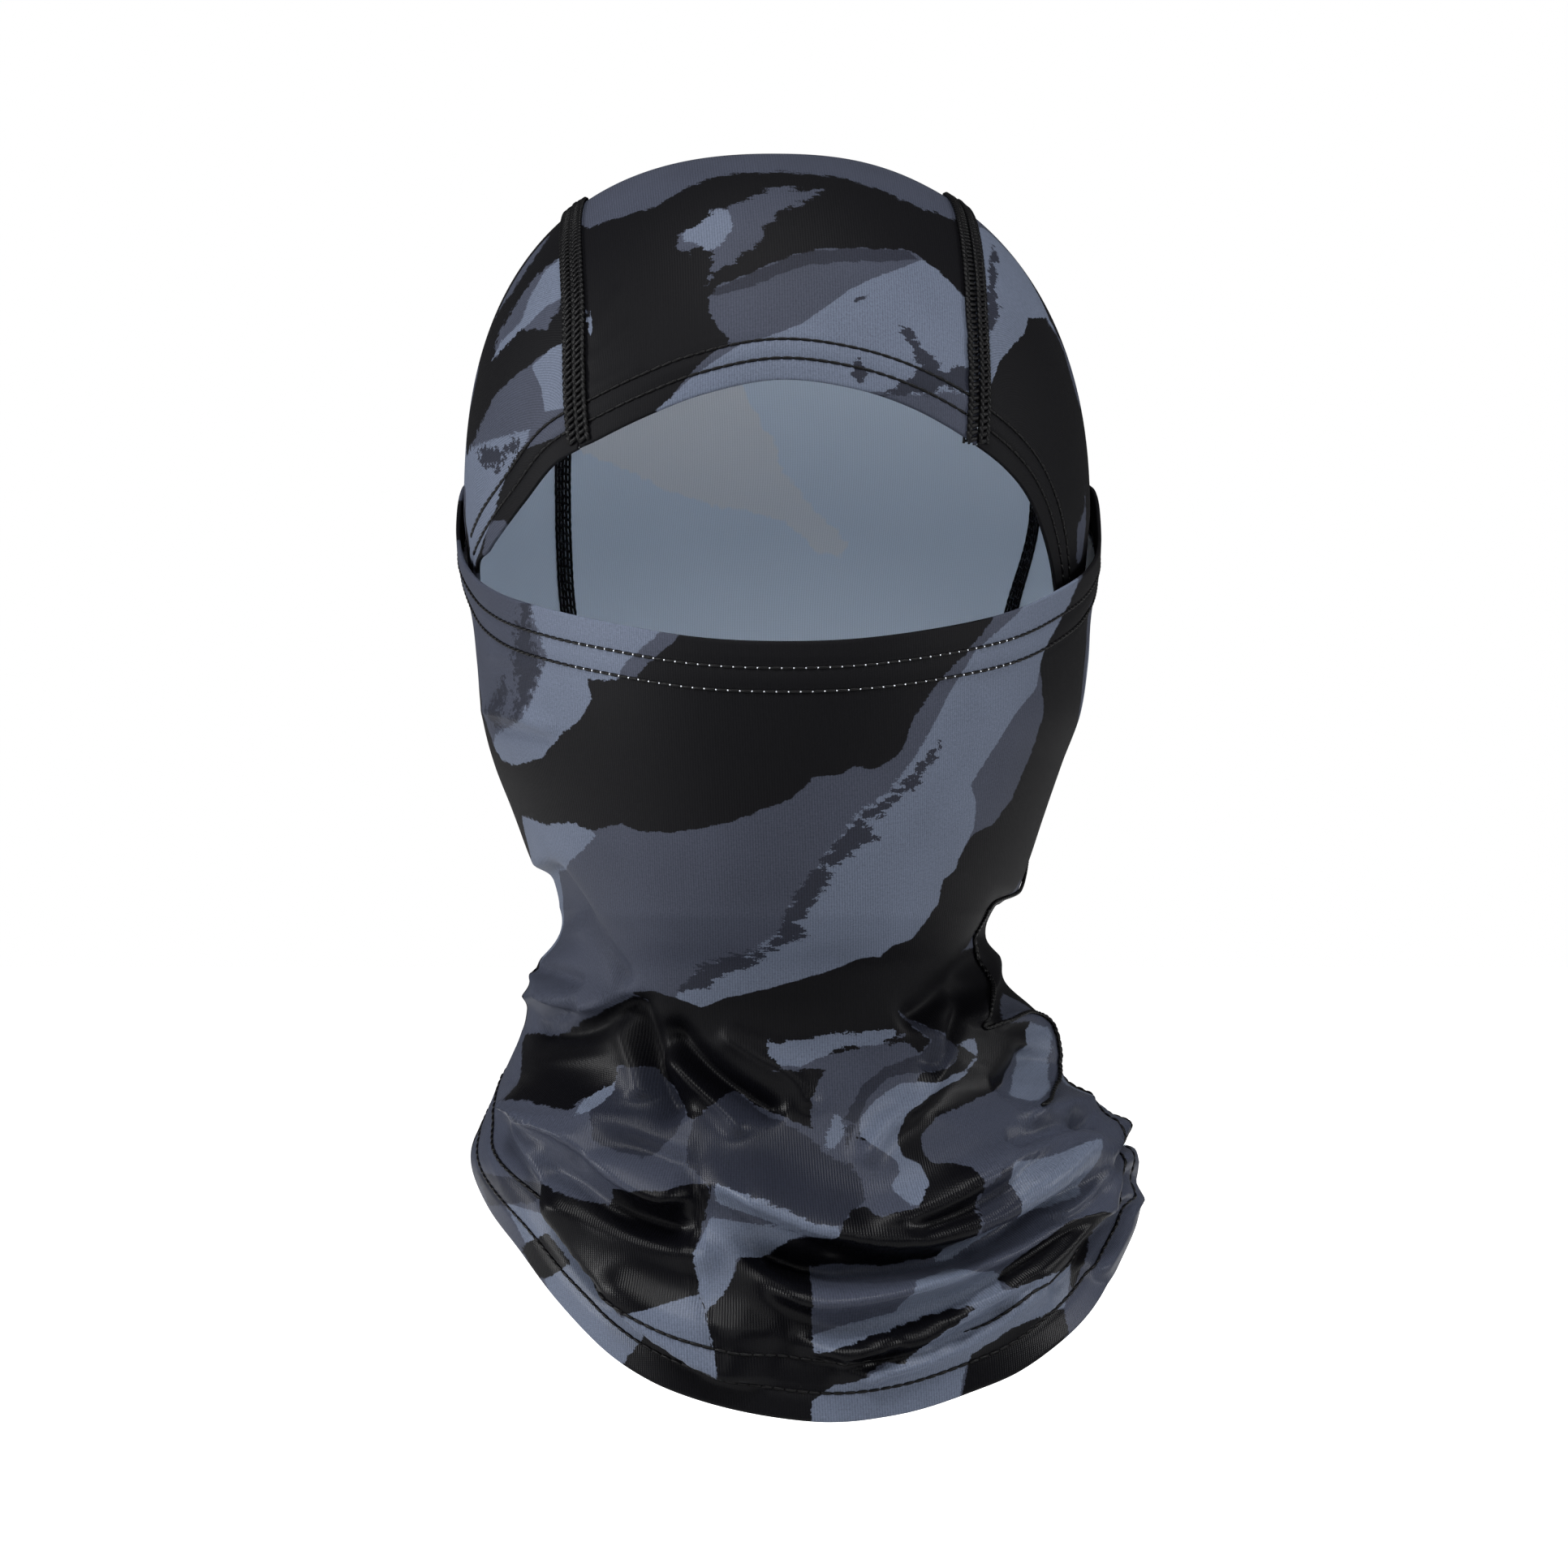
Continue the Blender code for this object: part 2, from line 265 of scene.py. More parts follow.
# Folds on the plane: points, height, width above the line, width below it.
FRONT_FOLDS = (
    # The edge of the drape that hangs over the hem on the left.
    (((-68, -116), (-66, -121), (-63.5, -129), (-57.5, -139), (-54, -149), (-47, -160.5), (-40, -169),
     (-34, -176), (-25, -183), (-15, -189), (0, -192)), 4.6, 16, 1.5),
    (((-72, -122), (-69, -131), (-62, -143), (-56, -154), (-49, -164), (-41, -173)), -2.0, 2.4, 3.0),
    # The main fold, which hangs from shoulder to shoulder, and the hollow under it.
    (((-70, -117), (-62, -122), (-53, -127), (-46, -132), (-39, -138), (-31, -143), (-25, -144),
     (-20, -143)), 6.0, 7, 2.4),
    (((-22, -142), (-13, -142), (-4, -146), (8, -151), (27, -155), (42, -153), (54, -148), (71, -137),
     (92, -126)), 8.5, 9, 2.4),
    (((-60, -133), (-50, -139), (-42, -146), (-30, -151), (-20, -152)), -3.0, 2.4, 4),
    (((-58, -141), (-46, -146), (-36, -152), (-24, -157), (-13, -160)), 3.2, 2.4, 5),
    (((-14, -155), (8, -162), (22, -162.5), (34, -161), (46, -158), (56, -152.5), (66, -144), (76, -137),
     (90, -129)), -6.0, 3, 3),
    (((-8, -165), (12, -170), (35, -166), (56, -158), (77, -143), (92, -129)), 6.0, 4, 3.4),
    (((4, -178), (16, -179), (34, -175), (50, -168), (62, -159), (76, -146)), -2.0, 2, 2),
    (((0, -181), (16, -183), (34, -180), (48, -173), (60, -165), (74, -152), (88, -136)), 4.0, 3, 2.4),
    (((10, -190), (26, -189), (42, -184), (54, -177), (66, -168), (80, -154)), 2.6, 4, 3),
    (((20, -187), (34, -184), (48, -178), (60, -170)), -2.4, 2, 2),
    (((-44, -162), (-30, -171), (-16, -176), (4, -180)), 1.6, 4, 5),
    (((-52, -134), (-40, -131), (-30, -133), (-22, -137)), -1.8, 3, 3),
    (((-48, -121), (-38, -126), (-28, -131), (-20, -134)), 1.6, 4, 3),
    # Creases that fan out of the right shoulder.
    (((88, -134), (82, -146), (76, -158), (66, -170)), -2.6, 2.4, 3),
    (((90, -140), (87, -152), (80, -166)), 2.4, 3, 2.4),
    (((20, -149), (36, -146), (52, -138), (66, -130), (80, -125)), 3.0, 4, 2.4),
    (((30, -152), (46, -146), (60, -137), (74, -130)), -2.4, 2, 2),
    (((56, -131), (68, -127.5), (80, -125)), -3.0, 2.2, 2.2),
    (((60, -125), (72, -121.5), (80, -121)), 2.6, 2.4, 2),
    (((66, -148), (76, -139), (84, -130), (90, -124)), 3.0, 2.4, 2),
    (((48, -160), (60, -150), (72, -141), (84, -133)), 2.6, 2.2, 2.2),
    (((44, -166), (58, -157), (70, -147), (84, -137)), -2.2, 2.2, 2.2),
    (((62, -168), (72, -158), (82, -146), (90, -138)), 2.0, 2.4, 2.4),
    (((72, -122), (78, -128), (84, -130), (92, -128)), -2.4, 2.0, 2.4),
    (((6, -156.5), (22, -158), (38, -156), (52, -150.5), (66, -141)), -2.6, 2.2, 2.2),
    # Under the chin and along the jaw.
    (((-62, -58), (-54, -69), (-47, -80), (-38, -91.5)), -3.4, 2.6, 5),
    (((-54, -73), (-46, -84), (-42, -91)), 1.6, 2.4, 2.4),
    (((-38, -92), (-33, -105), (-29, -117), (-24, -125)), -3.6, 3.4, 4),
    (((-42, -96), (-37, -108), (-34, -120)), 2.4, 3.5, 3.5),
    (((-30, -99), (-19, -110), (-10, -117), (2, -124)), -3.6, 3, 3),
    (((-30, -106), (-22, -114), (-14, -122), (-8, -130)), 2.6, 3.4, 3),
    (((-16, -101), (-6, -108), (4, -114), (10, -124)), 1.8, 3, 3),
    (((-62, -81), (-61, -88), (-56, -93), (-50, -95), (-41, -92)), 2.6, 3.4, 2),
    (((-64, -102), (-52, -102), (-42, -98), (-38, -92)), -2.6, 2.4, 3),
    (((62, -66), (56, -77), (49, -86), (38, -96), (30, -101)), -3.0, 2.6, 4),
    (((55, -79), (53, -90), (50, -101)), 2.6, 2, 2),
    (((47, -88), (47, -96), (42, -106), (36, -112)), -2.0, 2, 2),
    (((52.5, -101), (56, -100), (60, -98.4), (66, -100), (68, -104), (68.5, -112), (66, -120),
     (61, -125)), 2.6, 1.4, 1.6),
    (((36, -98), (41, -106), (37, -117), (27, -127), (20, -138)), 2.8, 3.4, 3.4),
    (((56, -118), (62, -112), (65, -106)), -2.4, 3, 3),
    # The pinch on the left of the neck.
    (((-50, -90), (-57, -87), (-65, -84)), -1.8, 1.8, 1.8),
    (((-50, -92), (-58, -92), (-66, -93)), 1.6, 2.0, 1.8),
    (((-49, -94), (-56, -97), (-63, -100)), -1.8, 1.8, 1.8),
    # Puckers above the front hem.
    (((14, -187), (22, -182), (31, -179)), 1.6, 1.8, 1.8),
    (((21, -192), (30, -187), (40, -183)), 1.5, 1.8, 1.8),
    (((26, -184), (34, -179.5), (44, -176)), -1.5, 1.6, 1.6),
    # Small pulls on the mask's left cheek.
    (((-77, -19), (-68, -21), (-56, -25)), 1.0, 2, 1.4),
    (((-74, -24), (-66, -26), (-58, -28)), -0.8, 1.6, 1.4),
    (((-76, -5), (-70, -6), (-62, -9)), 0.4, 2, 2),
    # The seam down the bib.
    (((-17, -141), (-19, -150), (-21, -158), (-20, -168.5), (-18, -173), (-15, -188)), -0.7, 0.9, 0.9),
)
HOOD_FOLDS = (
    (((-50, 62), (-42, 66), (-34, 70)), 0.35, 1.6, 1.6),
    (((-50, 68), (-43, 74), (-36, 80)), 0.35, 1.8, 1.8),
    (((-49, 74), (-44, 82), (-40, 90)), 0.3, 1.8, 1.8),
    (((50, 60), (42, 66), (34, 74)), 0.4, 1.8, 1.8),
    (((50, 66), (42, 74), (36, 84)), 0.35, 1.8, 1.8),
    (((50, 74), (44, 82), (40, 92)), 0.3, 1.8, 1.8),
)


# Pulls that fan out of a shoulder: centre, direction (1 to the left), count a radian, height, reach.
SHOULDERS = (
    ((97, -119), 1, 21, 1.5, 92),
    ((99, -128), 1, 37, 0.8, 60),
    ((-77, -106), -1, 19, 1.2, 62),
)


def fans(spots):
    """Height of the fine pulls that run from the shoulders down into the bib."""
    height = np.zeros(len(spots))
    for (x, z), way, count, rise, reach in SHOULDERS:
        across, down = (x - spots[:, 0]) * way, z - spots[:, 1]
        far = np.hypot(across, down)
        angle = np.arctan2(down, across) + 0.0045 * far
        phase = count * angle + 1.3 * np.sin(far / 19 + count) + 0.5 * np.sin(far / 6 + 9 * angle)
        ridge = (1 - np.abs(np.sin(phase / 2))) ** 1.3
        patchy = 0.55 + 0.45 * np.sin(3.1 * count * angle / 7 + far / 23)
        within = smooth(6, 26, far) * smooth(reach, 0.45 * reach, far)
        within = within * smooth(-0.1, 0.25, angle) * smooth(1.75, 1.3, angle)
        height += rise * ridge * patchy * within
    return height


def back_relief(points):
    """Soft folds on the neck and shoulders, where the front's folds don't reach."""
    x, y, z = np.moveaxis(points, -1, 0)
    behind = smooth(-10, 30, y) * smooth(-70, -95, z)
    angle = np.arctan2(x, y)
    wave = np.sin(z / 4.6 + 1.6 * np.sin(2 * angle) + 0.6 * np.sin(5 * angle + 1))
    slow = np.sin(z / 11 - 1.1 * angle)
    return behind * (1.2 * wave + 1.0 * slow) * smooth(-158, -140, z)


class Layer:
    """A curved surface of cloth. lay() puts points on it, with its folds."""

    def __init__(self, sections, folds, under=None):
        self.sections = sections
        self.folds = folds
        self.under = under  # the layer that this one's rear edges are sewn to

    def rest(self, points):
        return wrapped(points, self.sections)

    def normals(self, points):
        base = self.rest(points)
        dome = np.maximum(base[..., 2:] - DOME_CENTRE_Z, 0) * (0, 0, 1)
        away = unit(base * (1, 1, 0) + (0, 0, 1e-3) + dome)
        first = unit(np.cross(away, (0.05, 0.03, 1.0)))
        second = np.cross(away, first)
        a = self.rest(base + first * 0.6) - self.rest(base - first * 0.6)
        b = self.rest(base + second * 0.6) - self.rest(base - second * 0.6)
        normal = unit(np.cross(a, b))
        return np.where((normal * away).sum(axis=-1, keepdims=True) < 0, -normal, normal)

    def lay(self, points, lift=0.0):
        shape = points.shape
        flat = points.reshape(-1, 3)
        base = self.rest(flat)
        normal = self.normals(flat)
        height, drop = fold_relief(on_plane(base), self.folds)
        if self.under:
            height += fans(on_plane(base))
        front = smooth(45, 15, base[:, 1])
        lift = np.broadcast_to(lift, shape[:-1]).reshape(-1)
        under = smooth(-0.2, -1.0, lift)
        height = height * (1 - under) + np.minimum(height, 0) * under
        out = height * front + back_relief(base) + lift
        moved = base + normal * out[:, None]
        moved[:, 2] -= drop * front * (1 - under)
        if self.under:
            start = np.interp(base[:, 2], (-110, -60), (-6, 16))
            sewn = smooth(0, 16, base[:, 1] - start)[:, None]
            rise = SEWN_RISE + np.maximum(lift, -1.0)
            beneath = self.under.rest(flat) + self.under.normals(flat) * rise[:, None]
            moved = moved * (1 - sewn) + beneath * sewn
        return moved.reshape(shape)


def seen_at(layer, spots, steps=400):
    """The layer's front at places on the plane, as a line of points."""
    flat = even(spots, np.linspace(0, 1, steps))
    y = np.full(steps, -60.0)
    for _ in range(25):
        back = (SIGHT + y) / SIGHT
        x = EYE_X + (flat[:, 0] - EYE_X) * back
        z = EYE_Z + (flat[:, 1] - EYE_Z) * back
        left, right, front, _ = section(layer.sections, z)
        share = np.clip(np.abs(x) / np.where(x < 0, left, right), 0, 1)
        y = 0.5 * y - 0.5 * front * (1 - share**SECTION_POWER) ** (1 / SECTION_POWER)
    return np.stack([x, y, z], axis=1)


HOOD = Layer(HOOD_SECTIONS, HOOD_FOLDS)
FRONT = Layer(FRONT_SECTIONS, FRONT_FOLDS, HOOD)

# Side seams in the garment's frame. The right one goes on as RIGHT_SIDE_SEAM.
LEFT_SIDE_SEAM = ((-78, 33, 40), (-78, 29, 10), (-72, 21, -30), (-58, 12.5, -70), (-60, 11, -96),
 (-74, 9.5, -116))
RIGHT_SEAM_BEHIND = ((78, 33, 40), (79, 29, 10), (72, 21, -30), (62, 10, -58))
# Seams as seen on the plane. The right side seam comes forward below the jaw.
RIGHT_SIDE_SEAM = (
    (55, -72), (53, -80), (52, -92), (52.5, -101), (56, -100), (60, -98.4), (63, -98.2), (66, -100),
     (67.7, -103),
    (68.5, -111.5), (66.5, -119.5), (63, -124),
)
BIB_SEAM = ((-17, -141), (-19, -150), (-21, -158), (-20, -168.5), (-18, -173), (-15, -188))
HEM_JOIN = ((5, -189), (5.5, -193), (7, -198), (8, -202))


# The print: tone, raggedness in millimetres, outline on the plane. Later patches lie over earlier ones.
PATCHES_CROWN = (
    ("black", 0.6, ((-60, 110), (-49, 104), (-41, 107), (-33, 109), (-23, 115), (-15, 117.5), (-9, 118),
     (0, 118.5), (14, 117.5), (26, 114), (34, 110), (46, 106), (56, 100), (56, 84), (49, 85), (42, 91),
     (37, 96), (33, 98.5), (19, 99), (10, 98.5), (3, 97), (-4, 94), (-12, 90.5), (-18, 86.5), (-18, 82.5),
     (-15, 77.5), (-12, 75), (-18, 71.5), (-24, 65), (-28, 60), (-32, 55), (-36, 50), (-56, 30),
     (-60, 70))),
    ("mid", 1.2, ((-26, 102), (-23, 103.5), (-20, 106), (-17, 108.5), (-12, 109.5), (-6, 112.5), (0, 114.5),
     (6, 114), (12, 114), (7, 111), (0, 108), (-4, 104), (-4, 102), (-8, 98), (-12, 95.5), (-16, 93),
     (-19, 88.5), (-17, 96), (-17, 98), (-21, 99.5), (-23, 97.5), (-26, 99))),
    ("light", 0.9, ((-23, 103.5), (-20, 106), (-17, 108.5), (-13, 108), (-12, 104.5), (-15, 100),
     (-18, 98.5), (-21.5, 100.5), (-25, 101))),
    ("dark", 0.4, ((-18, 86.5), (-16, 89), (-12, 90.5), (-4, 94), (3, 97), (10, 98.5), (19, 99), (33, 98.5),
     (36, 96), (28, 95.5), (20, 95.5), (10, 95), (2, 93), (-6, 89.5), (-12, 87.5))),
    ("light", 0.3, ((0, 77), (6, 79.5), (11, 83), (18, 88), (24, 91), (31, 93.5), (37, 96), (40, 94),
     (44, 90), (49, 85), (50, 76), (50, 62), (40, 62), (20, 62), (-8, 60), (-28, 56), (-32, 57), (-28, 60),
     (-22, 66), (-10, 74))),
    ("dark", 1.2, ((31, 78), (33.5, 78.5), (35.5, 75), (38, 72), (41, 69), (42, 67), (47, 69), (49, 68),
     (49, 62), (42, 63), (38, 61), (26, 61), (31, 64), (34, 66), (36, 68.5), (34.5, 72.5))),
    ("dark", 0.8, ((18.5, 66.5), (20, 70.5), (22.5, 67.5), (22.5, 65), (20.5, 64))),
    ("dark", 0.3, ((19, 85.5), (21.5, 86.8), (25, 87), (19.5, 85))),
    ("light", 0.3, ((-49.5, 85), (-48.3, 82), (-47.8, 79), (-48, 76), (-49.5, 80))),
)
PATCHES_SIDE_LEFT = (
    ("black", 0.3, ((-57, 105), (-63, 96), (-69, 87), (-74, 80), (-82, 70), (-82, 20), (-74, 12), (-50, 25),
     (-50, 105))),
    ("mid", 0.6, ((-55.5, 96.5), (-56, 84), (-60, 78), (-66, 78), (-71, 73), (-73.5, 70), (-72, 77),
     (-68, 84), (-63, 91), (-60, 94))),
    ("light", 0.5, ((-55.5, 96.5), (-56, 86), (-60, 84), (-66, 78), (-71, 73), (-73.8, 70), (-71, 75),
     (-66, 80), (-64, 86), (-60, 93))),
    ("mid", 0.3, ((-54.5, 75), (-54, 52), (-60, 49), (-67, 47.5), (-72, 40), (-75, 34), (-76.5, 25),
     (-80, 20), (-84, 42), (-79, 48), (-76, 55), (-73, 61), (-69, 65), (-64, 69), (-58.5, 73))),
    ("light", 0.3, ((-54.5, 75), (-54, 58), (-60, 57), (-61, 63), (-63.5, 68.5), (-58.5, 73))),
    ("light", 0.5, ((-84, 46), (-77, 48), (-72, 50), (-64, 52), (-66, 47.5), (-69, 43), (-71, 37),
     (-73, 31), (-75.5, 24), (-78, 17), (-84, 22))),
    ("dark", 1.6, ((-77, 47), (-74, 48), (-71, 47), (-68, 50), (-66, 49), (-71, 45), (-72.5, 41),
     (-74.5, 44), (-76, 42))),
    ("mid", 0.2, ((-74.3, 27.5), (-73, 29), (-70, 29), (-69.4, 27), (-71, 24), (-76, 18.5), (-75.5, 22.5))),
)
PATCHES_SIDE_RIGHT = (
    ("light", 0.3, ((53, 104), (62, 98), (70, 88), (76, 78), (71, 77), (68.5, 81), (64, 81), (63, 77),
     (59.5, 73.5), (56.5, 69.5), (54.5, 64), (50, 64), (50, 104))),
    ("black", 0.3, ((63, 77), (64, 81), (68.5, 81), (70, 78), (74, 73), (78, 60), (82, 40), (80, 10),
     (60, 10), (48, 30), (50, 62), (54.5, 64), (56.5, 69.5), (59.5, 73.5))),
    ("dark", 1.0, ((54.5, 100), (56, 96.5), (55.5, 85), (57, 84), (55.5, 79), (54, 76), (53, 80))),
    ("mid", 0.3, ((79, 50), (78.4, 32), (76.5, 27), (76.3, 17.5), (79, 20), (82, 34))),
)
# The edge that the light and the black stroke over the chin share.
CHIN_STROKE = (
    (47, -56), (45, -61), (42, -63.5), (41, -69), (37, -75), (33.5, -79), (29.5, -80), (26, -83),
     (20.5, -83.5), (15, -86), (3.5, -89.5), (-4, -91.5), (-13, -93.5), (-20, -96), (-27, -93.5),
)
PATCHES_MASK = (
    ("light", 0.6, ((-63, 30), (-63, 6), (-59, -6), (-65, -22), (-72, -26), (-78, -32), (-60, -36),
     (-46, -22), (-40, -8), (-20, 10))),
    ("dark", 2.2, ((-66, 8), (-63, 8), (-64, 0), (-61, -8), (-63, -14), (-66, -20), (-68, -24), (-67, -16),
     (-68, -6))),
    ("dark", 2.0, ((-75, -22), (-73, -16), (-71, -11), (-70, -14), (-70.5, -20), (-73, -24))),
    ("black", 0.4, ((-25, 0), (-29, -4), (-33, -7), (-37, -11.5), (-49.5, -12), (-48, -17), (-51, -22),
     (-56, -26), (-61, -32), (-68, -34), (-74, -31), (-82, -34), (-82, -46), (-67, -46.5), (-60, -49),
     (-53, -48.5), (-49, -51), (-45, -50), (-40, -49), (-36, -51), (-28, -51), (-19, -50), (-10, -47.5),
     (-3, -45), (3, -42.5), (9, -37), (16, -36), (19, -34), (24, -35), (31, -31), (35, -21), (42, -11),
     (48, -5), (52, 0), (56, 6), (56, 12), (0, 6))),
    ("light", 0.5, ((-68, -46.5), (-60, -49), (-53, -48.5), (-47, -51.5), (-51, -56), (-54, -58.5),
     (-56, -62), (-60, -63), (-72, -58))),
    ("light", 0.4, ((60, 4), (79, 24), (76, 12), (73.5, 6), (70, -1.5), (67, -8), (66, -14), (61, -20),
     (56, -28), (52, -34), (49, -39), (50.5, -43), (50, -50), *CHIN_STROKE, (-20, -87), (-10, -84),
     (0, -77), (6, -66), (12, -57), (20, -47), (28, -41), (33, -35), (38, -27), (44, -15), (50, -5))),
    ("dark", 1.6, ((-27, -93), (-22, -87), (-18, -84.5), (-13, -83), (-7, -82), (-2, -80), (1, -74),
     (5, -65.5), (10, -60), (15, -53), (20, -48), (26, -43), (32, -38.5), (37, -33), (41, -28), (40, -33),
     (34, -40), (28, -45.5), (22, -49), (25, -52.5), (18, -57), (12, -61), (13.5, -63), (9, -69),
     (4.5, -74), (7, -77.5), (2, -79), (-4, -83), (-8, -86), (-14, -87.5), (-18, -91))),
    ("mid", 0.3, ((66, -14), (67, -8), (68, -20), (65, -30), (62.5, -36), (60, -42), (55, -49), (50, -52),
     (50.5, -43), (49, -39), (52, -34), (56, -28), (61, -20))),
    ("black", 0.2, ((82, 22), (76, 12), (73.5, 6), (69, -2), (67, -8), (68, -20), (65, -30), (62.5, -36),
     (60, -42), (55, -49), (50, -51.5), *CHIN_STROKE, (-32, -92), (-38, -92), (-34, -104), (-30, -112),
     (-10, -114), (30, -104), (56, -90), (62, -72), (90, -40))),
    ("mid", 0.4, ((61, -67), (58, -70), (54.5, -77), (47.5, -86), (52, -82.5), (61, -71))),
)
PATCHES_BIB = (
    ("mid", 0.3, ((-70, -76), (-38, -90), (-39, -94), (-48, -98), (-56, -102), (-66, -104))),
    ("black", 0.4, ((-66, -103), (-56, -101.5), (-48, -98), (-39, -93.5), (-36, -96), (-32, -104),
     (-20, -110), (0, -112), (20, -112), (30, -104), (40, -98), (48, -84), (60, -76), (56, -100),
     (64, -100), (64, -104), (61, -110), (59, -115), (50, -120), (40, -124), (36, -129), (37, -134),
     (30, -132), (10, -128), (-5, -121), (-12, -116), (-22, -125), (-34, -116), (-41, -114.5), (-48, -119),
     (-50, -122), (-56, -120), (-60, -119), (-64, -119), (-66, -114))),
    ("light", 0.8, ((-48, -119), (-41, -114.5), (-42, -118), (-45, -122), (-48, -123.5))),
    ("dark", 0.4, ((-41, -111), (-33, -110), (-28, -116), (-24, -123), (-27, -130), (-34, -134),
     (-44, -130), (-45, -122), (-42, -118))),
    ("dark", 0.5, ((-12, -116), (-22, -125), (-24, -136), (-18, -141), (-6, -146), (8, -151), (16, -150),
     (22, -144), (20, -138), (14, -134), (4, -127), (-5, -122))),
    ("light", 1.0, ((-16, -140), (-4, -144), (8, -149), (20, -152), (22, -156), (10, -155), (-4, -150),
     (-16, -146))),
    ("mid", 0.5, ((12, -112), (19, -107), (33, -105), (38, -110), (34, -115), (26, -119), (20, -128),
     (17, -137), (12, -134), (8, -126), (8, -119))),
    ("light", 0.8, ((-3.5, -104), (0, -105), (12, -103), (24, -102), (30, -101.5), (30, -103.5),
     (26, -105.5), (17, -106), (10, -109), (5.5, -111), (0, -110), (-3, -107))),
    ("dark", 0.4, ((31, -97), (44, -103.5), (46, -107), (44, -110), (37, -112), (28, -114), (23, -119),
     (20.5, -124), (17, -133), (17, -128), (18, -122), (22, -115.5), (28, -111), (36, -108), (38, -104))),
    ("light", 0.3, ((45.5, -105), (50.5, -104), (51, -108), (47, -112.5), (40, -114.5), (31, -115.5),
     (24.5, -120), (21, -124.5), (20.5, -129), (24.5, -132), (30, -135), (31, -138), (28, -142),
     (32, -145.5), (35.5, -145), (37.5, -140), (36, -136.5), (31.5, -134.5), (30, -129), (32, -122.5),
     (38, -118), (47, -114), (51, -109))),
    ("black", 0.3, ((52, -102), (64, -100), (64, -105), (61, -110.5), (59, -115.5), (50, -120),
     (40, -124.5), (36.5, -129), (36.5, -133), (39, -136), (46, -136.5), (48, -138), (49, -142), (47, -152),
     (42, -158), (28, -160.5), (8.5, -161), (-10, -156), (-4, -152), (5, -155), (13, -154), (17.5, -147),
     (21, -146), (24, -148.5), (29, -147), (34, -145.5), (37.5, -140.5), (36, -136), (31.5, -134),
     (30, -129), (32, -122.5), (38, -118), (47, -114), (51, -109))),
    ("light", 0.3, ((63, -100), (67, -102), (67.5, -110), (66.5, -118), (62, -123), (58, -122), (61, -116),
     (64, -110))),
    ("mid", 0.5, ((40, -126), (50, -121), (60, -118), (66, -122), (60, -130), (50, -137), (41, -136))),
    ("dark", 0.8, ((49, -141.5), (55, -136.5), (58, -142), (57, -148.5), (48, -152), (48, -146))),
    ("light", 0.4, ((56, -136), (66, -134), (76, -132), (74, -140), (64, -146), (57, -150), (46, -158),
     (40, -160), (47, -153), (57, -148))),
    ("dark", 1.4, ((17, -138), (19, -142), (12.5, -145), (8.5, -145), (12, -141))),
    ("light", 1.2, ((14.5, -124), (17, -127), (15, -131), (12, -132), (13, -128))),
    ("mid", 0.4, ((11, -166), (34, -164.5), (30, -175), (8.5, -179), (6, -178.5), (9, -174))),
    ("light", 0.4, ((34, -164.5), (44, -161), (56, -163), (55, -168), (40, -174), (28, -178), (8.5, -184),
     (7, -180), (30, -174))),
    ("black", 0.3, ((55, -164.5), (70, -148.5), (77, -145), (82, -148.5), (81, -153), (75, -169.5),
     (74, -160.5), (60, -170))),
    ("black", 0.4, ((8.5, -184), (28, -178), (42, -173), (50, -171), (44, -176), (37, -181.5), (31, -186),
     (28, -185.5), (24, -187.5), (20, -191), (14, -193), (9, -197), (8, -204), (-6, -206), (-30, -200),
     (-42, -188), (-34, -180), (-26, -182), (-15, -189), (-17, -180), (-18, -173), (-12, -166), (-10, -160),
     (4, -156), (8, -161))),
    ("light", 0.4, ((50, -171), (55, -168.5), (74, -161), (74, -170), (73, -173), (60, -178), (49, -185),
     (47, -190.5), (46, -197), (34, -202), (8, -205), (8.5, -197), (14, -193), (20, -191), (28, -186),
     (31, -186), (44, -176))),
    ("black", 0.4, ((49, -185), (60, -178), (73, -173), (74, -180), (66, -192), (46, -200))),
    ("mid", 0.4, ((75, -169.5), (82, -148.5), (88, -155), (92, -162), (81, -174), (74, -180), (73, -173))),
    ("black", 0.4, ((-60, -138), (-43, -145), (-41, -142), (-17, -141), (-19, -148), (-21, -158),
     (-20, -168.5), (-27, -171), (-37, -172.5), (-40, -169), (-50, -160), (-56, -152))),
    ("light", 0.5, ((-17.5, -150), (8, -154), (4, -155), (-1.5, -157), (-6, -159.5), (-11, -160),
     (-12, -166), (-14, -169), (-18, -173.5), (-20, -169), (-21, -158))),
    ("light", 0.4, ((-37, -172.5), (-20, -168.5), (-18, -173.5), (-16, -180), (-14.5, -189), (-19, -188),
     (-28, -181.5), (-34, -176))),
    ("mid", 0.4, ((-80, -120), (-66, -114), (-64, -122), (-60, -136), (-56, -150), (-50, -158), (-42, -168),
     (-40, -178), (-36, -190), (-60, -172), (-74, -150), (-82, -134))),
    ("dark", 0.5, ((-77.5, -138), (-63.5, -141), (-62.5, -146), (-74, -147))),
    ("light", 0.4, ((-70, -146), (-59, -150), (-50, -161), (-42, -171), (-34, -181), (-40, -190),
     (-56, -174))),
    ("black", 0.3, ((-66, -157.5), (-60, -154), (-54, -161.5), (-58, -165), (-62, -166))),
    ("black", 0.4, ((-40, -187.5), (-34, -180), (-26, -184), (-15, -189), (0, -190), (8, -191), (8, -206),
     (-14, -203), (-34, -196))),
)
PATCHES_FRONT = PATCHES_MASK + PATCHES_BIB
PATCHES_SIDE = {"left": PATCHES_SIDE_LEFT, "right": PATCHES_SIDE_RIGHT}
SIDE_SEED = {"left": 9.0, "right": 17.0}
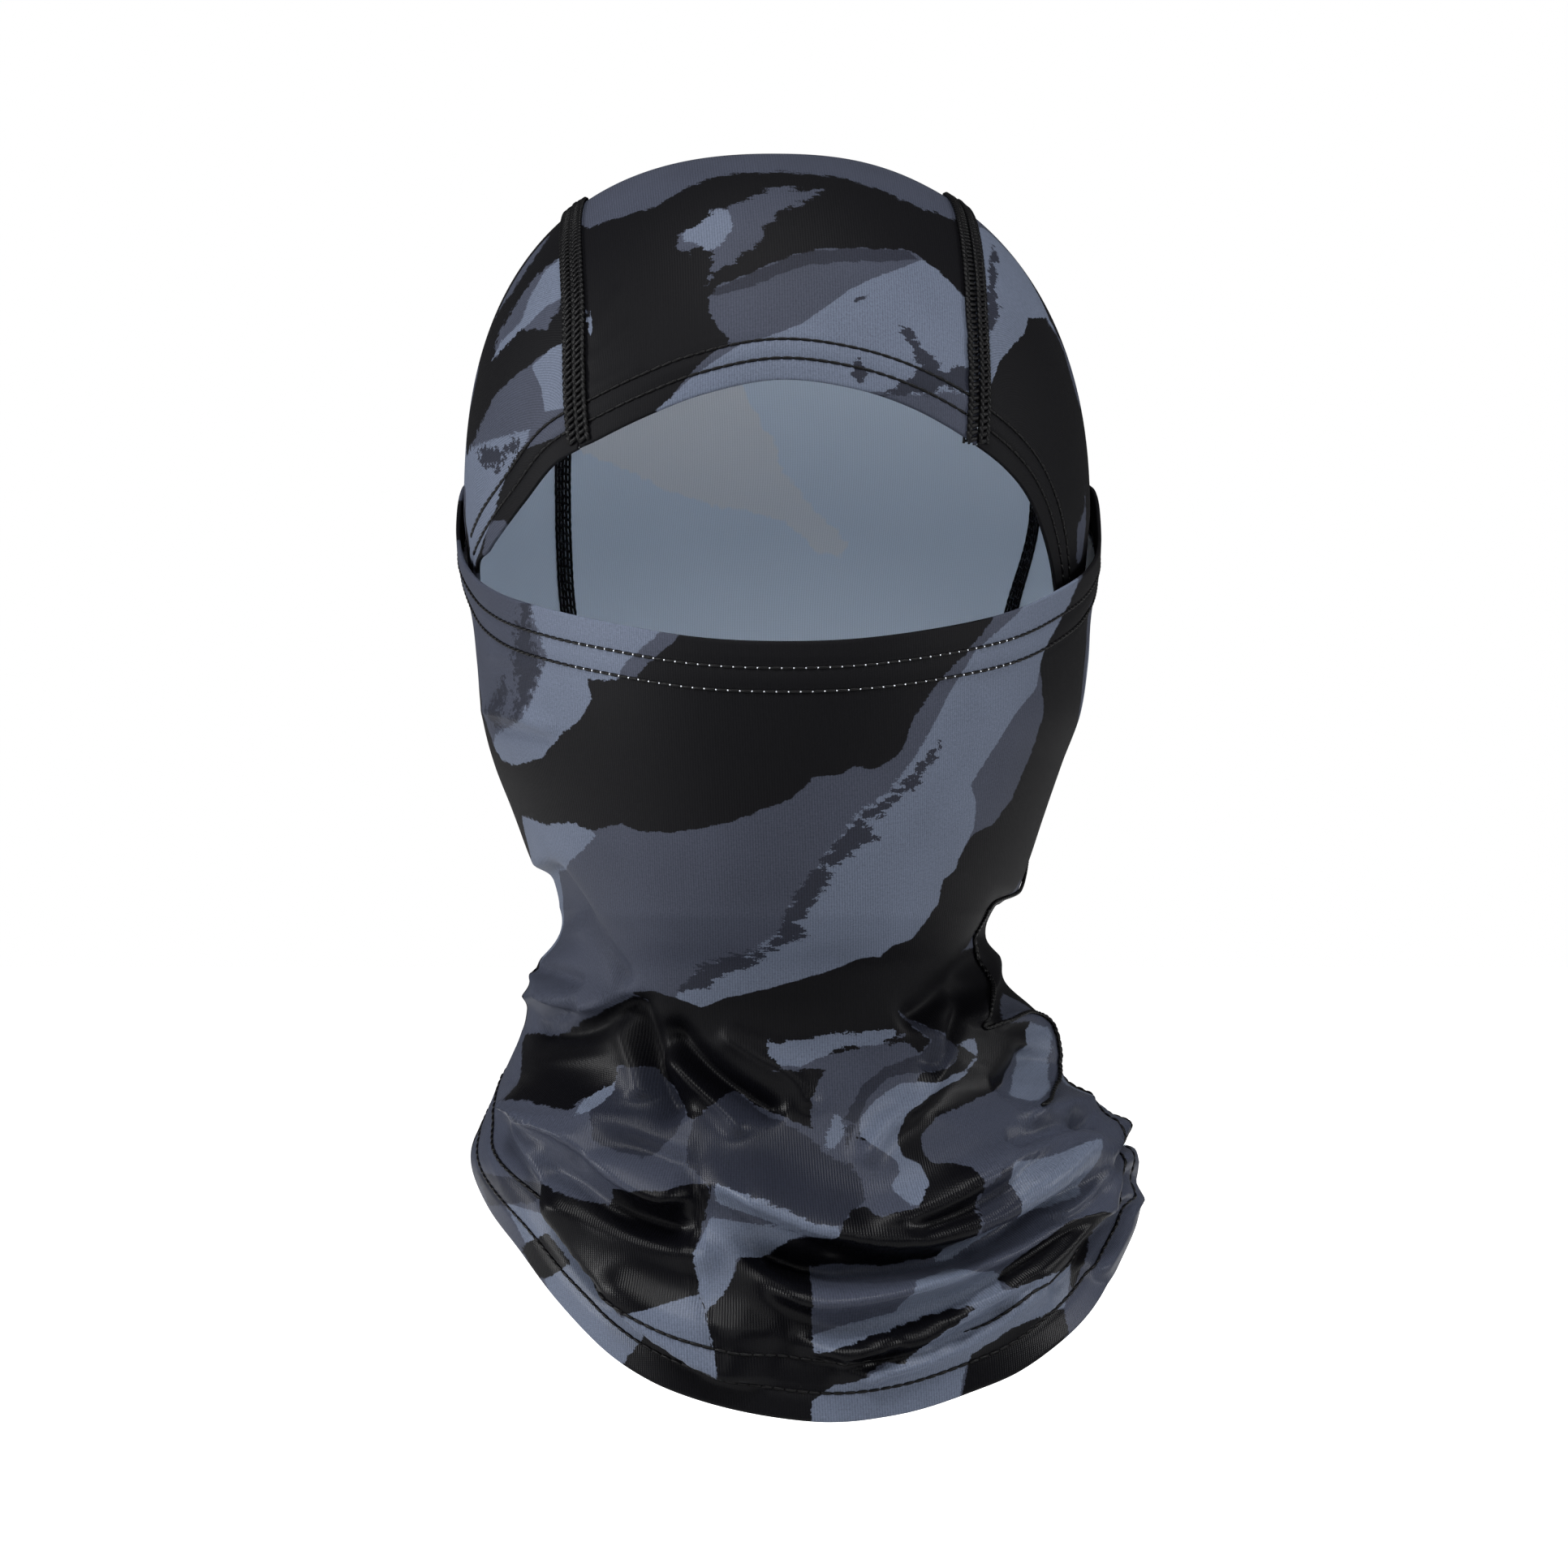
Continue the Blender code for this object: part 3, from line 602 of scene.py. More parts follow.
# The warmer patch on the inside of the hood's back.
INSIDE_PATCH = (
    (-10, 66), (-9, 62), (-5, 55), (-1, 49), (1, 42), (7, 34), (13, 28), (18, 23), (16, 19.5), (9, 21),
     (4, 27),
    (-2, 30), (-14, 32), (-30, 37), (-44, 44), (-54, 48), (-50, 70),
)


def to_outline(spots, outline):
    """Signed distance from each spot to a closed outline, positive inside."""
    outline = np.asarray(outline, float)
    after = np.roll(outline, -1, axis=0)
    best = np.full(len(spots), 1e9)
    inside = np.zeros(len(spots), bool)
    for a, b in zip(outline, after):
        step = b - a
        size = max(float(step @ step), 1e-9)
        t = np.clip(((spots - a) @ step) / size, 0, 1)
        apart = spots - (a + t[:, None] * step)
        best = np.minimum(best, np.einsum("ij,ij->i", apart, apart))
        crosses = (a[1] > spots[:, 1]) != (b[1] > spots[:, 1])
        if abs(step[1]) > 1e-9:
            inside ^= crosses & (spots[:, 0] < a[0] + step[0] * (spots[:, 1] - a[1]) / step[1])
    return np.sqrt(best) * np.where(inside, 1, -1)


TONES = ("light", "dark", "black")
FAR = 30.0


def painted(spots, patches):
    """For each tone the signed distance into it, and how ragged the nearest edge is."""
    fields = {tone: np.full(len(spots), -FAR) for tone in TONES}
    ragged = np.full(len(spots), 0.5)
    for tone, rag, outline in patches:
        corners = np.asarray(outline, float)
        near = within_box(spots, corners, FAR)
        if not near.any():
            continue
        into = to_outline(spots[near], outline)
        for name, field in fields.items():
            field[near] = np.maximum(field[near], into) if name == tone else np.minimum(field[near], -into)
        close = np.exp(-((into / 2.5) ** 2))
        ragged[near] = ragged[near] * (1 - close) + rag * close
    return fields, ragged


def wild(points, seed):
    """Print for the sides and back: a brush-like noise, as signed distances."""
    x, y, z = np.moveaxis(points, -1, 0)
    slanted = np.stack([x / 52, y / 46, (z - 0.55 * x + 0.35 * y) / 27], axis=-1)
    result = {}
    for i, (tone, cut) in enumerate((("light", 0.10), ("dark", 0.30), ("black", -0.02))):
        values = [
            noise.noise(Vector(place) + Vector((seed, 7.3 * i, 0)))
            + 0.28 * noise.noise(3 * Vector(place) + Vector((seed, 3.1 * i, 0)))
            for place in slanted.tolist()
        ]
        result[tone] = (np.array(values) - cut) * 24
    return result


def put(mesh, name, values, kind="FLOAT"):
    attribute = mesh.attributes.new(name, kind, "POINT")
    field = "vector" if kind == "FLOAT_VECTOR" else "value"
    attribute.data.foreach_set(field, np.asarray(values, np.float32).ravel())


def mesh_of(name, points, faces, materials):
    mesh = bpy.data.meshes.new(name)
    mesh.from_pydata((points * MM).tolist(), [], faces)
    for material in materials:
        mesh.materials.append(material)
    mesh.shade_smooth()
    mesh.update()
    return mesh


def placed(name, mesh):
    piece = bpy.data.objects.new(name, mesh)
    bpy.context.scene.collection.objects.link(piece)
    return piece


def quads(rows, columns):
    corner = (np.arange(rows - 1)[:, None] * columns + np.arange(columns - 1)).ravel()
    return np.stack([corner, corner + 1, corner + columns + 1, corner + columns], axis=1)


def hem_steps(count, length, start, end):
    """Distances and lifts across a panel. start and end say which of its ends are turned hems."""
    body = np.linspace(0, length, count + 1)
    place, lift = [body], [np.zeros(count + 1)]
    turn = np.radians(np.array([180, 150, 120, 90, 60, 30]))
    arc = 0.5 * HEM_GAP * (1 - np.sin(turn))
    arc_lift = -0.5 * HEM_GAP * (1 - np.cos(turn))
    flap = np.linspace(HEM_DEPTH, 0.5 * HEM_GAP, FLAP_STEPS)
    ends = np.concatenate([flap, arc[1:]])
    ends_lift = np.concatenate([np.full(FLAP_STEPS, -HEM_GAP), arc_lift[1:]])
    if start:
        body_start = body[body > 0.5 * HEM_GAP + 0.3]
        place = [ends, [0.5 * HEM_GAP], body_start]
        lift = [ends_lift, [0], np.zeros(len(body_start))]
    place, lift = np.concatenate(place), np.concatenate(lift)
    if end:
        keep = place < length - 0.5 * HEM_GAP - 0.3
        keep |= lift < 0
        place = np.concatenate([place[keep], [length - 0.5 * HEM_GAP], length - ends[::-1]])
        lift = np.concatenate([lift[keep], [0], ends_lift[::-1]])
    return place / length, lift


def far_from(points, line):
    """Distance from each point to a line in space."""
    best = np.full(len(points), 1e9)
    for a, b in zip(line[:-1], line[1:]):
        step = b - a
        t = np.clip(((points - a) @ step) / max(float(step @ step), 1e-9), 0, 1)
        best = np.minimum(best, np.linalg.norm(points - (a + t[:, None] * step), axis=1))
    return best


def hem_puff(rest, edges):
    """The slight swell of a doubled hem, drawn in along its stitch rows."""
    flat = rest.reshape(-1, 3)
    total = np.zeros(len(flat))
    for line, rows in edges:
        distance = far_from(flat, line)
        drawn = sum(np.exp(-(((distance - row) / 0.8) ** 2)) for row in rows)
        total += HEM_SWELL * smooth(max(rows) + 3, max(rows) - 1, distance) - STITCH_PULL * drawn
    return total.reshape(rest.shape[:-1])


def inset(layer, line, distance, towards):
    """The line moved over the layer, square to itself, on the side where the point towards lies."""
    base = layer.rest(line)
    tangent = unit(np.gradient(base, axis=0))
    across = unit(np.cross(layer.normals(base), tangent))
    sign = np.sign((across * (np.asarray(towards, float) - base)).sum(axis=1).mean())
    return layer.rest(base + across * sign * distance)


def finish_panel(name, layer, rest, final, patches, seed):
    """A panel's mesh with its print, its knit's own coordinates and its thickness."""
    rows, columns = rest.shape[:2]
    flat = rest.reshape(-1, 3)
    spots = on_plane(flat)
    fields, ragged = painted(spots, patches)
    # Where the cloth turns away from the front, the outlines give way to the noise.
    share = smooth(0.20, 0.06, -layer.normals(flat)[:, 1])
    for tone, values in wild(flat, seed).items():
        fields[tone] = fields[tone] * (1 - share) + values * share
    steps = np.linalg.norm(np.diff(rest, axis=1), axis=2)
    around = np.concatenate([np.zeros((rows, 1)), np.cumsum(steps, axis=1)], axis=1)
    around -= around[:, columns // 2][:, None]
    steps = np.linalg.norm(np.diff(rest, axis=0), axis=2)
    down = np.concatenate([np.zeros((1, columns)), np.cumsum(steps, axis=0)], axis=0)
    knit = np.stack([around.ravel(), down.ravel(), np.zeros(rows * columns)], axis=1)
    mesh = mesh_of(name, final.reshape(-1, 3), quads(rows, columns).tolist(), (PRINTED, REVERSE, PRINTED))
    for tone in TONES:
        put(mesh, tone, fields[tone])
    put(mesh, "ragged", ragged)
    put(mesh, "inside", to_outline(spots, INSIDE_PATCH))
    put(mesh, "rest", flat, "FLOAT_VECTOR")
    put(mesh, "knit", knit, "FLOAT_VECTOR")
    turn_out(mesh)
    piece = placed(name, mesh)
    cloth = piece.modifiers.new("cloth", "SOLIDIFY")
    cloth.thickness = CLOTH * MM
    cloth.offset = -1
    cloth.material_offset = 1
    cloth.material_offset_rim = 2
    return piece


def turn_out(mesh):
    """Flips the faces if they look towards the garment's middle."""
    count = len(mesh.polygons)
    normal, centre, area = np.empty(count * 3), np.empty(count * 3), np.empty(count)
    mesh.polygons.foreach_get("normal", normal)
    mesh.polygons.foreach_get("center", centre)
    mesh.polygons.foreach_get("area", area)
    centre = centre.reshape(-1, 3)
    centre[:, 2] -= np.minimum(centre[:, 2], DOME_CENTRE_Z * MM)
    if (area[:, None] * normal.reshape(-1, 3) * centre).sum() < 0:
        mesh.flip_normals()
        mesh.update()


# ---- Materials ----


class Nodes:
    """A small helper to build a material's node tree."""

    def __init__(self, name):
        self.material = bpy.data.materials.new(name)
        self.material.use_nodes = True
        self.tree = self.material.node_tree
        self.shader = self.tree.nodes["Principled BSDF"]

    def add(self, kind, inputs=(), **settings):
        node = self.tree.nodes.new(kind)
        for key, value in settings.items():
            setattr(node, key, value)
        for key, value in dict(inputs).items():
            if isinstance(value, bpy.types.NodeSocket):
                self.tree.links.new(value, node.inputs[key])
            else:
                node.inputs[key].default_value = value
        return node

    def math(self, operation, a, b=0.0, clamp=False):
        return self.add("ShaderNodeMath", {0: a, 1: b}, operation=operation, use_clamp=clamp).outputs[0]

    def line(self, value, factor, offset, clamp=False):
        return self.math("ADD", self.math("MULTIPLY", value, factor), offset, clamp)

    def attribute(self, name, output="Fac"):
        return self.add("ShaderNodeAttribute", attribute_name=name).outputs[output]

    def noise(self, vector, scale, detail=2.0, roughness=0.5):
        inputs = {"Vector": vector, "Scale": scale, "Detail": detail, "Roughness": roughness}
        return self.add("ShaderNodeTexNoise", inputs).outputs["Fac"]

    def mix(self, share, a, b):
        node = self.add("ShaderNodeMix", {"Factor": share, "A": a, "B": b}, data_type="RGBA")
        for key, value in (("A", a), ("B", b)):
            socket = [s for s in node.inputs if s.name == key and s.type == "RGBA"][0]
            if isinstance(value, bpy.types.NodeSocket):
                self.tree.links.new(value, socket)
            else:
                socket.default_value = value
        return [s for s in node.outputs if s.type == "RGBA"][0]

    def link(self, output, key):
        self.tree.links.new(output, self.shader.inputs[key])

    def bump(self, height, strength, distance):
        inputs = {"Strength": strength, "Distance": distance * MM, "Height": height}
        self.link(self.add("ShaderNodeBump", inputs).outputs[0], "Normal")

    def tint(self, colour, shade):
        node = self.add("ShaderNodeVectorMath", {0: colour, 1: shade}, operation="MULTIPLY")
        self.link(node.outputs[0], "Base Color")

    def set(self, values):
        for key, value in values.items():
            self.shader.inputs[key].default_value = value


def grey(red, green, blue):
    """A colour given as displayed values out of 255."""
    def linear(value):
        value /= 255
        return value / 12.92 if value <= 0.04045 else ((value + 0.055) / 1.055) ** 2.4
    return (linear(red), linear(green), linear(blue), 1.0)


def knit_ribs(nodes):
    """Height of the fine ribs of the knit, 0 to 1, from the cloth's own coordinates in millimetres."""
    knit = nodes.attribute("knit", "Vector")
    parts = nodes.add("ShaderNodeSeparateXYZ", {0: knit})
    along = nodes.noise(knit, 0.9, 2.0)
    sway = nodes.math("MULTIPLY", along, 1.6)
    across = nodes.math("MULTIPLY", parts.outputs[0], 2 * math.pi / RIB_PITCH)
    wave = nodes.math("SINE", nodes.math("ADD", across, sway))
    down = nodes.math("MULTIPLY", parts.outputs[1], 2 * math.pi / COURSE_PITCH)
    course = nodes.math("SINE", nodes.math("ADD", down, nodes.math("MULTIPLY", wave, 1.2)))
    both = nodes.math("ADD", nodes.math("MULTIPLY", wave, 0.36), nodes.math("MULTIPLY", course, 0.12))
    return nodes.math("ADD", both, 0.5), knit


def make_printed():
    """The printed face: four tones with ragged, brush-like borders, darker and lighter along the ribs."""
    nodes = Nodes("camo_knit")
    rest = nodes.attribute("rest", "Vector")
    slant = {"Vector": rest, "Rotation": (0, 0.9, 0), "Scale": (0.45, 1.0, 1.6)}
    turned = nodes.add("ShaderNodeMapping", slant).outputs[0]
    coarse = nodes.math("SUBTRACT", nodes.noise(turned, 0.42, 3.0, 0.6), 0.5)
    fine = nodes.math("SUBTRACT", nodes.noise(rest, 1.9, 2.0, 0.6), 0.5)
    rough = nodes.math("ADD", nodes.math("MULTIPLY", coarse, 5.0), nodes.math("MULTIPLY", fine, 2.0))
    ragged = nodes.math("MULTIPLY", rough, nodes.attribute("ragged"))
    outward = nodes.math("ABSOLUTE", ragged)
    ribs, knit = knit_ribs(nodes)
    colour = TONE_COLOURS["mid"]
    for tone, edge in (("light", outward), ("dark", ragged), ("black", ragged)):
        into = nodes.math("ADD", nodes.attribute(tone), edge)
        colour = nodes.mix(nodes.line(into, 5.0, 0.5, clamp=True), colour, TONE_COLOURS[tone])
    mottle = nodes.noise(rest, 0.05, 2.0)
    grain = nodes.noise(knit, 1.7, 2.0, 0.7)
    shade = nodes.math("ADD", nodes.math("MULTIPLY", ribs, 0.4), nodes.math("MULTIPLY", mottle, 0.3))
    shade = nodes.math("ADD", shade, nodes.math("MULTIPLY", grain, 0.9))
    nodes.tint(colour, nodes.math("ADD", shade, 0.2))
    nodes.bump(ribs, 0.35, 0.12)
    # The bib is glossier than the cloth above it, and pale tones are glossier than black.
    bright = nodes.add("ShaderNodeRGBToBW", {0: colour}).outputs[0]
    height = nodes.add("ShaderNodeSeparateXYZ", {0: rest}).outputs[2]
    neck = {"Value": height, "From Min": -112.0, "From Max": -88.0}
    tight = nodes.add("ShaderNodeMapRange", neck).outputs[0]
    matt = nodes.line(bright, -0.5, 0.32)
    nodes.link(nodes.math("ADD", matt, nodes.math("MULTIPLY", tight, 0.32)), "Roughness")
    nodes.set({"Specular IOR Level": 0.06})
    return nodes.material


def make_reverse():
    """The undyed inside of the cloth."""
    nodes = Nodes("camo_knit_reverse")
    ribs, _ = knit_ribs(nodes)
    rest = nodes.attribute("rest", "Vector")
    wobble = nodes.math("MULTIPLY", nodes.math("SUBTRACT", nodes.noise(rest, 0.3, 3.0, 0.6), 0.5), 4.0)
    into = nodes.math("ADD", nodes.attribute("inside"), wobble)
    colour = nodes.mix(nodes.line(into, 1.2, 0.5, clamp=True), *REVERSE_COLOURS)
    nodes.tint(colour, nodes.line(ribs, 0.22, 0.9))
    nodes.bump(ribs, 0.3, 0.1)
    nodes.set({"Roughness": 0.7, "Specular IOR Level": 0.1})
    return nodes.material


def make_thread():
    nodes = Nodes("black_thread")
    place = nodes.add("ShaderNodeTexCoord").outputs["Object"]
    turns = {"Vector": place, "Scale": 1400.0, "Distortion": 2.0, "Detail": 1.0}
    twist = nodes.add("ShaderNodeTexWave", turns)
    nodes.link(nodes.mix(nodes.noise(place, 900.0), grey(2, 2, 3), grey(8, 8, 9)), "Base Color")
    nodes.bump(twist.outputs["Fac"], 0.5, 0.06)
    nodes.set({"Roughness": 0.34, "Specular IOR Level": 0.09})
    return nodes.material


def make_pale():
    nodes = Nodes("undyed_thread")
    place = nodes.add("ShaderNodeTexCoord").outputs["Object"]
    nodes.link(nodes.mix(nodes.noise(place, 700.0), grey(150, 155, 165), grey(215, 218, 224)), "Base Color")
    nodes.set({"Roughness": 0.5})
    return nodes.material


TONE_COLOURS = {
    "light": grey(68, 74, 87), "mid": grey(43, 46, 56), "dark": grey(27, 29, 37), "black": grey(4, 4, 6),
}
REVERSE_COLOURS = (grey(206, 215, 226), grey(217, 217, 219))
PRINTED = make_printed()
REVERSE = make_reverse()
THREAD = make_thread()
PALE = make_pale()


# ---- Threads ----


def tubes(paths, out, radius, sides=6, squash=1.0, taper=True, material=None):
    """One mesh of thin tubes. paths is (tubes, points, 3), out the same shape: the way each point faces."""
    count, steps = paths.shape[:2]
    ahead = unit(np.gradient(paths, axis=1))
    across = unit(np.cross(out, ahead))
    up = np.cross(ahead, across)
    size = np.full(steps, float(radius))
    if taper:
        size *= np.sin(np.linspace(0.5, math.pi - 0.5, steps)) ** 0.4
    turn = (np.arange(sides) * 2 * math.pi / sides)[:, None]
    ring = across[:, :, None] * np.cos(turn) + up[:, :, None] * np.sin(turn) * squash
    points = paths[:, :, None] + ring * size[:, None, None]
    corner = np.arange(sides)
    after = (corner + 1) % sides
    tube = np.arange(count)[:, None] * steps * sides
    base = tube[:, None] + np.arange(steps - 1)[:, None] * sides
    faces = np.stack([base + corner, base + after, base + sides + after, base + sides + corner], axis=-1)
    faces = faces.reshape(-1, 4).tolist()
    caps = (tube + corner[::-1]).tolist() + (tube + (steps - 1) * sides + corner).tolist()
    return mesh_of("threads", points.reshape(-1, 3), faces + caps, (material or THREAD,))


def merged(name, meshes):
    """Several meshes as one object, each with its own material."""
    whole = bpy.data.meshes.new(name)
    points, faces, indices, materials = [], [], [], []
    for mesh in meshes:
        start = len(points)
        points += [vertex.co[:] for vertex in mesh.vertices]
        faces += [[start + v for v in face.vertices] for face in mesh.polygons]
        if mesh.materials[0] not in materials:
            materials.append(mesh.materials[0])
        indices += [materials.index(mesh.materials[0])] * len(mesh.polygons)
    whole.from_pydata(points, [], faces)
    for material in materials:
        whole.materials.append(material)
    whole.polygons.foreach_set("material_index", indices)
    whole.shade_smooth()
    return placed(name, whole)


def at(line, places):
    """Points at these distances along a line."""
    along = lengths(line)
    return np.stack([np.interp(places, along, line[:, k]) for k in range(3)], axis=-1)


def repeats(line, pitch, spare=0.0):
    """Where each stitch of a line starts, as a column. The spare length stays free."""
    return np.arange(int((lengths(line)[-1] - spare) / pitch))[:, None] * pitch


def laid_threads(layer, points, lift, radius, **shape):
    """Threads along rows of rest points, at a height over the layer."""
    return tubes(layer.lay(points, lift), layer.normals(points), radius, **shape)


def stitch_row(layer, line, pitch=2.9, radius=0.4):
    """A row of lockstitches: each one a short thread that dips into the cloth at its ends."""
    share = np.linspace(0, 1, 6)
    points = at(line, repeats(line, pitch) + share * pitch * 0.97)
    lift = 0.36 * np.sin(share * math.pi) ** 0.5 - 0.2
    return laid_threads(layer, points, lift, radius, taper=False)


def specks(layer, line, low, high, pitch=2.9):
    """The under thread, which shows as a pale dot between stitches from low to high across."""
    points = at(line, repeats(line, pitch) + np.array([-0.16, 0.0, 0.16]))
    points = points[(points[:, 1, 0] > low) & (points[:, 1, 0] < high)]
    return laid_threads(layer, points, 0.12, 0.21, sides=5, taper=False, material=PALE)


def flatlock(layer, line, width=6.8, pitch=1.75):
    """The seam's cover: two columns of slanted threads, a chain on each edge and one down the middle."""
    half = width / 2
    share = np.linspace(0, 1, 7)
    rise = 0.30 + 0.55 * np.sin(share * math.pi) ** 0.6
    meshes = []
    for low, high in ((-half, -0.25), (0.25, half)):
        points = at(line, 1 + repeats(line, pitch, 2) + (share - 0.5) * 1.5)
        points[..., 0] += low + (high - low) * share
        meshes.append(laid_threads(layer, points, rise, 0.66, squash=0.75))
    for across, height, radius in ((-half, 0.5, 0.78), (half, 0.5, 0.7), (0.5, 0.8, 0.62)):
        meshes.append(chain(layer, line, across, height, radius, pitch))
    return meshes


def chain(layer, line, across, rise, radius, pitch=1.5):
    """A run of overlapping links along a seam's edge."""
    share = np.linspace(0, 1, 5)
    points = at(line, 0.6 + repeats(line, pitch, 2) + share * pitch * 1.25)
    points[..., 0] += across + 0.22 * np.cos(share * math.pi)
    return laid_threads(layer, points, rise + 0.22 * np.sin(share * math.pi), radius, squash=0.8)


def seam_net(layer, line, pitch=2.2):
    """The inside of the flatlock seam: a black net of threads, with the cloth showing through it."""
    inner = -(CLOTH + 0.35)
    share = np.linspace(0, 1, 6)
    meshes = []
    for low, high in ((-3.9, 0.1), (-0.1, 3.9)):
        points = at(line, 1 + repeats(line, pitch, 2) + (share - 0.5))
        points[..., 0] += low + (high - low) * share
        meshes.append(laid_threads(layer, points, inner - 0.1, 0.40, squash=0.6))
    end = lengths(line)[-1]
    run = np.linspace(0, end, int(end / 1.2))
    for across in (-3.8, -1.9, 0.0, 1.9, 3.8):
        points = at(line, run)[None]
        points[..., 0] += across + 0.12 * np.sin(run * 2 * math.pi / pitch)
        meshes.append(laid_threads(layer, points, inner, 0.36, taper=False))
    return meshes


# ---- The garment ----


def mirrored(points):
    return tuple((-x, y, z) for x, y, z in points)


def add_crown():
    """The strip between the crown seams. Near the brow its rows take the brow's own curve."""
    left, right = SEAMS["left"], SEAMS["right"]
    rows, columns = 330, 76
    down, down_lift = hem_steps(rows, CROWN_LENGTH, start=True, end=False)
    share = np.linspace(0, 1, columns + 1)
    a, b = even(left, down), even(right, down)
    points = a[:, None] + (b - a)[:, None] * share[None, :, None]
    brow = even(BROW_EDGE, share)
    straight = even(left, np.zeros(1)) * (1 - share[:, None]) + even(right, np.zeros(1)) * share[:, None]
    fade = smooth(60, 0, down * CROWN_LENGTH)[:, None, None]
    points = points + fade * (brow - straight)[None]
    rest = HOOD.rest(points)
    final = HOOD.lay(points, down_lift[:, None] + hem_puff(rest, HOOD_EDGES))
    return finish_panel("crown_cloth", HOOD, rest, final, PATCHES_CROWN, 4.0)


def add_side(side):
    """A side panel, from the crown seam round to the edge that runs down the cheek and under the mask."""
    turn = mirrored if side == "left" else tuple
    seam = SEAMS[side]
    front = (CHEEK_LEFT if side == "left" else CHEEK_RIGHT) + turn(LAP_EDGE)[1:]
    rows, columns = 310, 100
    share = np.linspace(0.003, 1, rows + 1)
    a = even(seam, share)
    b = even(front, share)
    width = np.linalg.norm(b - a, axis=1)
    places, lifts = hem_steps(columns, SIDE_SPAN, start=False, end=True)
    steep = SIDE_SPAN / np.maximum(width * 1.15, 20)[:, None]
    inward = 1 - places[None, :]
    across = 1 - np.where(steep > 1, 1 - (1 - inward) ** steep, steep * inward + (1 - steep) * inward**3)
    points = a[:, None] + (b - a)[:, None] * across[..., None]
    rest = HOOD.rest(points)
    final = HOOD.lay(points, lifts[None, :] + hem_puff(rest, HOOD_EDGES))
    return finish_panel(f"side_cloth_{side}", HOOD, rest, final, PATCHES_SIDE[side], SIDE_SEED[side])


def add_front():
    """The mask and the bib as one cloth, from the hem over the nose down to the hem on the chest."""
    rows, columns = 158, 250
    along = np.linspace(0, 1, columns + 1)
    top, bottom = even(MASK_TOP, along), even(MASK_BOTTOM, along)
    down, lift = hem_steps(rows, FRONT_LENGTH, start=True, end=True)
    down = down + 0.035 * np.sin(2 * math.pi * down) * smooth(0, 0.1, down) * smooth(1, 0.86, down)
    points = top[None] + (bottom - top)[None] * down[:, None, None]
    rest = FRONT.rest(points)
    final = FRONT.lay(points, lift[:, None] + hem_puff(rest, FRONT_EDGES))
    return finish_panel("front_cloth", FRONT, rest, final, PATCHES_FRONT, 23.0)


OPENING = CHEEK_LEFT[5::-1] + BROW_EDGE[1:-1] + CHEEK_RIGHT[:6]
BACK_HALF = ((-79, 4, -130), (-72, 34, -140), (-50, 62, -150), (-25, 72, -150))
BACK_EDGE = BACK_HALF + ((0, 75, -150),) + mirrored(BACK_HALF)[::-1]
BROW_ROWS = {"lower": 5.5, "upper": 10.5}
MASK_ROWS = {"upper": 6.6, "lower": 12.3}
BOTTOM_ROWS = {"lower": 7.0, "upper": 15.0}
EDGE_STEPS = np.linspace(0, 1, 260)
HOOD_EDGES = ((HOOD.rest(even(OPENING, EDGE_STEPS)), tuple(BROW_ROWS.values())),)
FRONT_EDGES = (
    (FRONT.rest(even(MASK_TOP, EDGE_STEPS)), tuple(MASK_ROWS.values())),
    (FRONT.rest(even(MASK_BOTTOM, EDGE_STEPS)), tuple(BOTTOM_ROWS.values())),
)


def hand_over(piece, slot, *nodes, bends=False):
    """Fixes a piece to the hood, or bakes its place into its mesh, and hides the CAD nodes it stands for.
    """
    if bends:
        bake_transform(piece)
    else:
        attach(piece, "hood")
    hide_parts(*nodes)


def add_rows():
    """The stitch rows along the hems. Each replaces the CAD row it stands for."""
    groups = (
        ("brow", HOOD, OPENING, BROW_ROWS, (0, 0, 100)),
        ("mask", FRONT, MASK_TOP, MASK_ROWS, (0, 0, -100)),
        ("front_hem", FRONT, MASK_BOTTOM, BOTTOM_ROWS, (0, 0, 0)),
        ("back_hem", HOOD, BACK_EDGE, BOTTOM_ROWS, (0, 0, 0)),
    )
    for name, layer, edge, rows, towards in groups:
        for row, distance in rows.items():
            line = inset(layer, even(edge, np.linspace(0, 1, 400)), distance, towards)
            threads = [stitch_row(layer, line)]
            if name == "mask":
                threads.append(specks(layer, line, -50, 57))
            piece = merged(f"{name}_row_{row}", threads)
            hand_over(piece, "thread", f"{name}_stitch_{row}", bends=layer is FRONT)


def add_seams():
    """The seams on the front cloth: both sides, the bib's middle and the join in its hem."""
    left = even(LEFT_SIDE_SEAM, EDGE_STEPS)
    front = seen_at(FRONT, RIGHT_SIDE_SEAM)
    behind = even(RIGHT_SEAM_BEHIND + (tuple(front[0]),), EDGE_STEPS)
    right = np.concatenate([behind[:-1], front])
    for name, line, radius in (("side_seam_left", left, 0.42), ("side_seam_right", right, 0.55)):
        chains = [chain(FRONT, line, across, radius - 0.2, radius) for across in (-0.45, 0.45)]
        base, side = name.rsplit("_", 1)
        hand_over(merged(f"{base}_thread_{side}", chains), "thread", name, bends=True)
    for name, edge, radius in (("bib_seam", BIB_SEAM, 0.13), ("hem_join", HEM_JOIN, 0.2)):
        row = stitch_row(FRONT, seen_at(FRONT, edge), 2.4, radius)
        hand_over(merged(f"{name}_thread", [row]), "thread", name, bends=True)


def hand_over_cloth(piece, cut, *nodes, bends=False):
    hand_over(piece, "camo_fabric", *nodes, bends=bends)


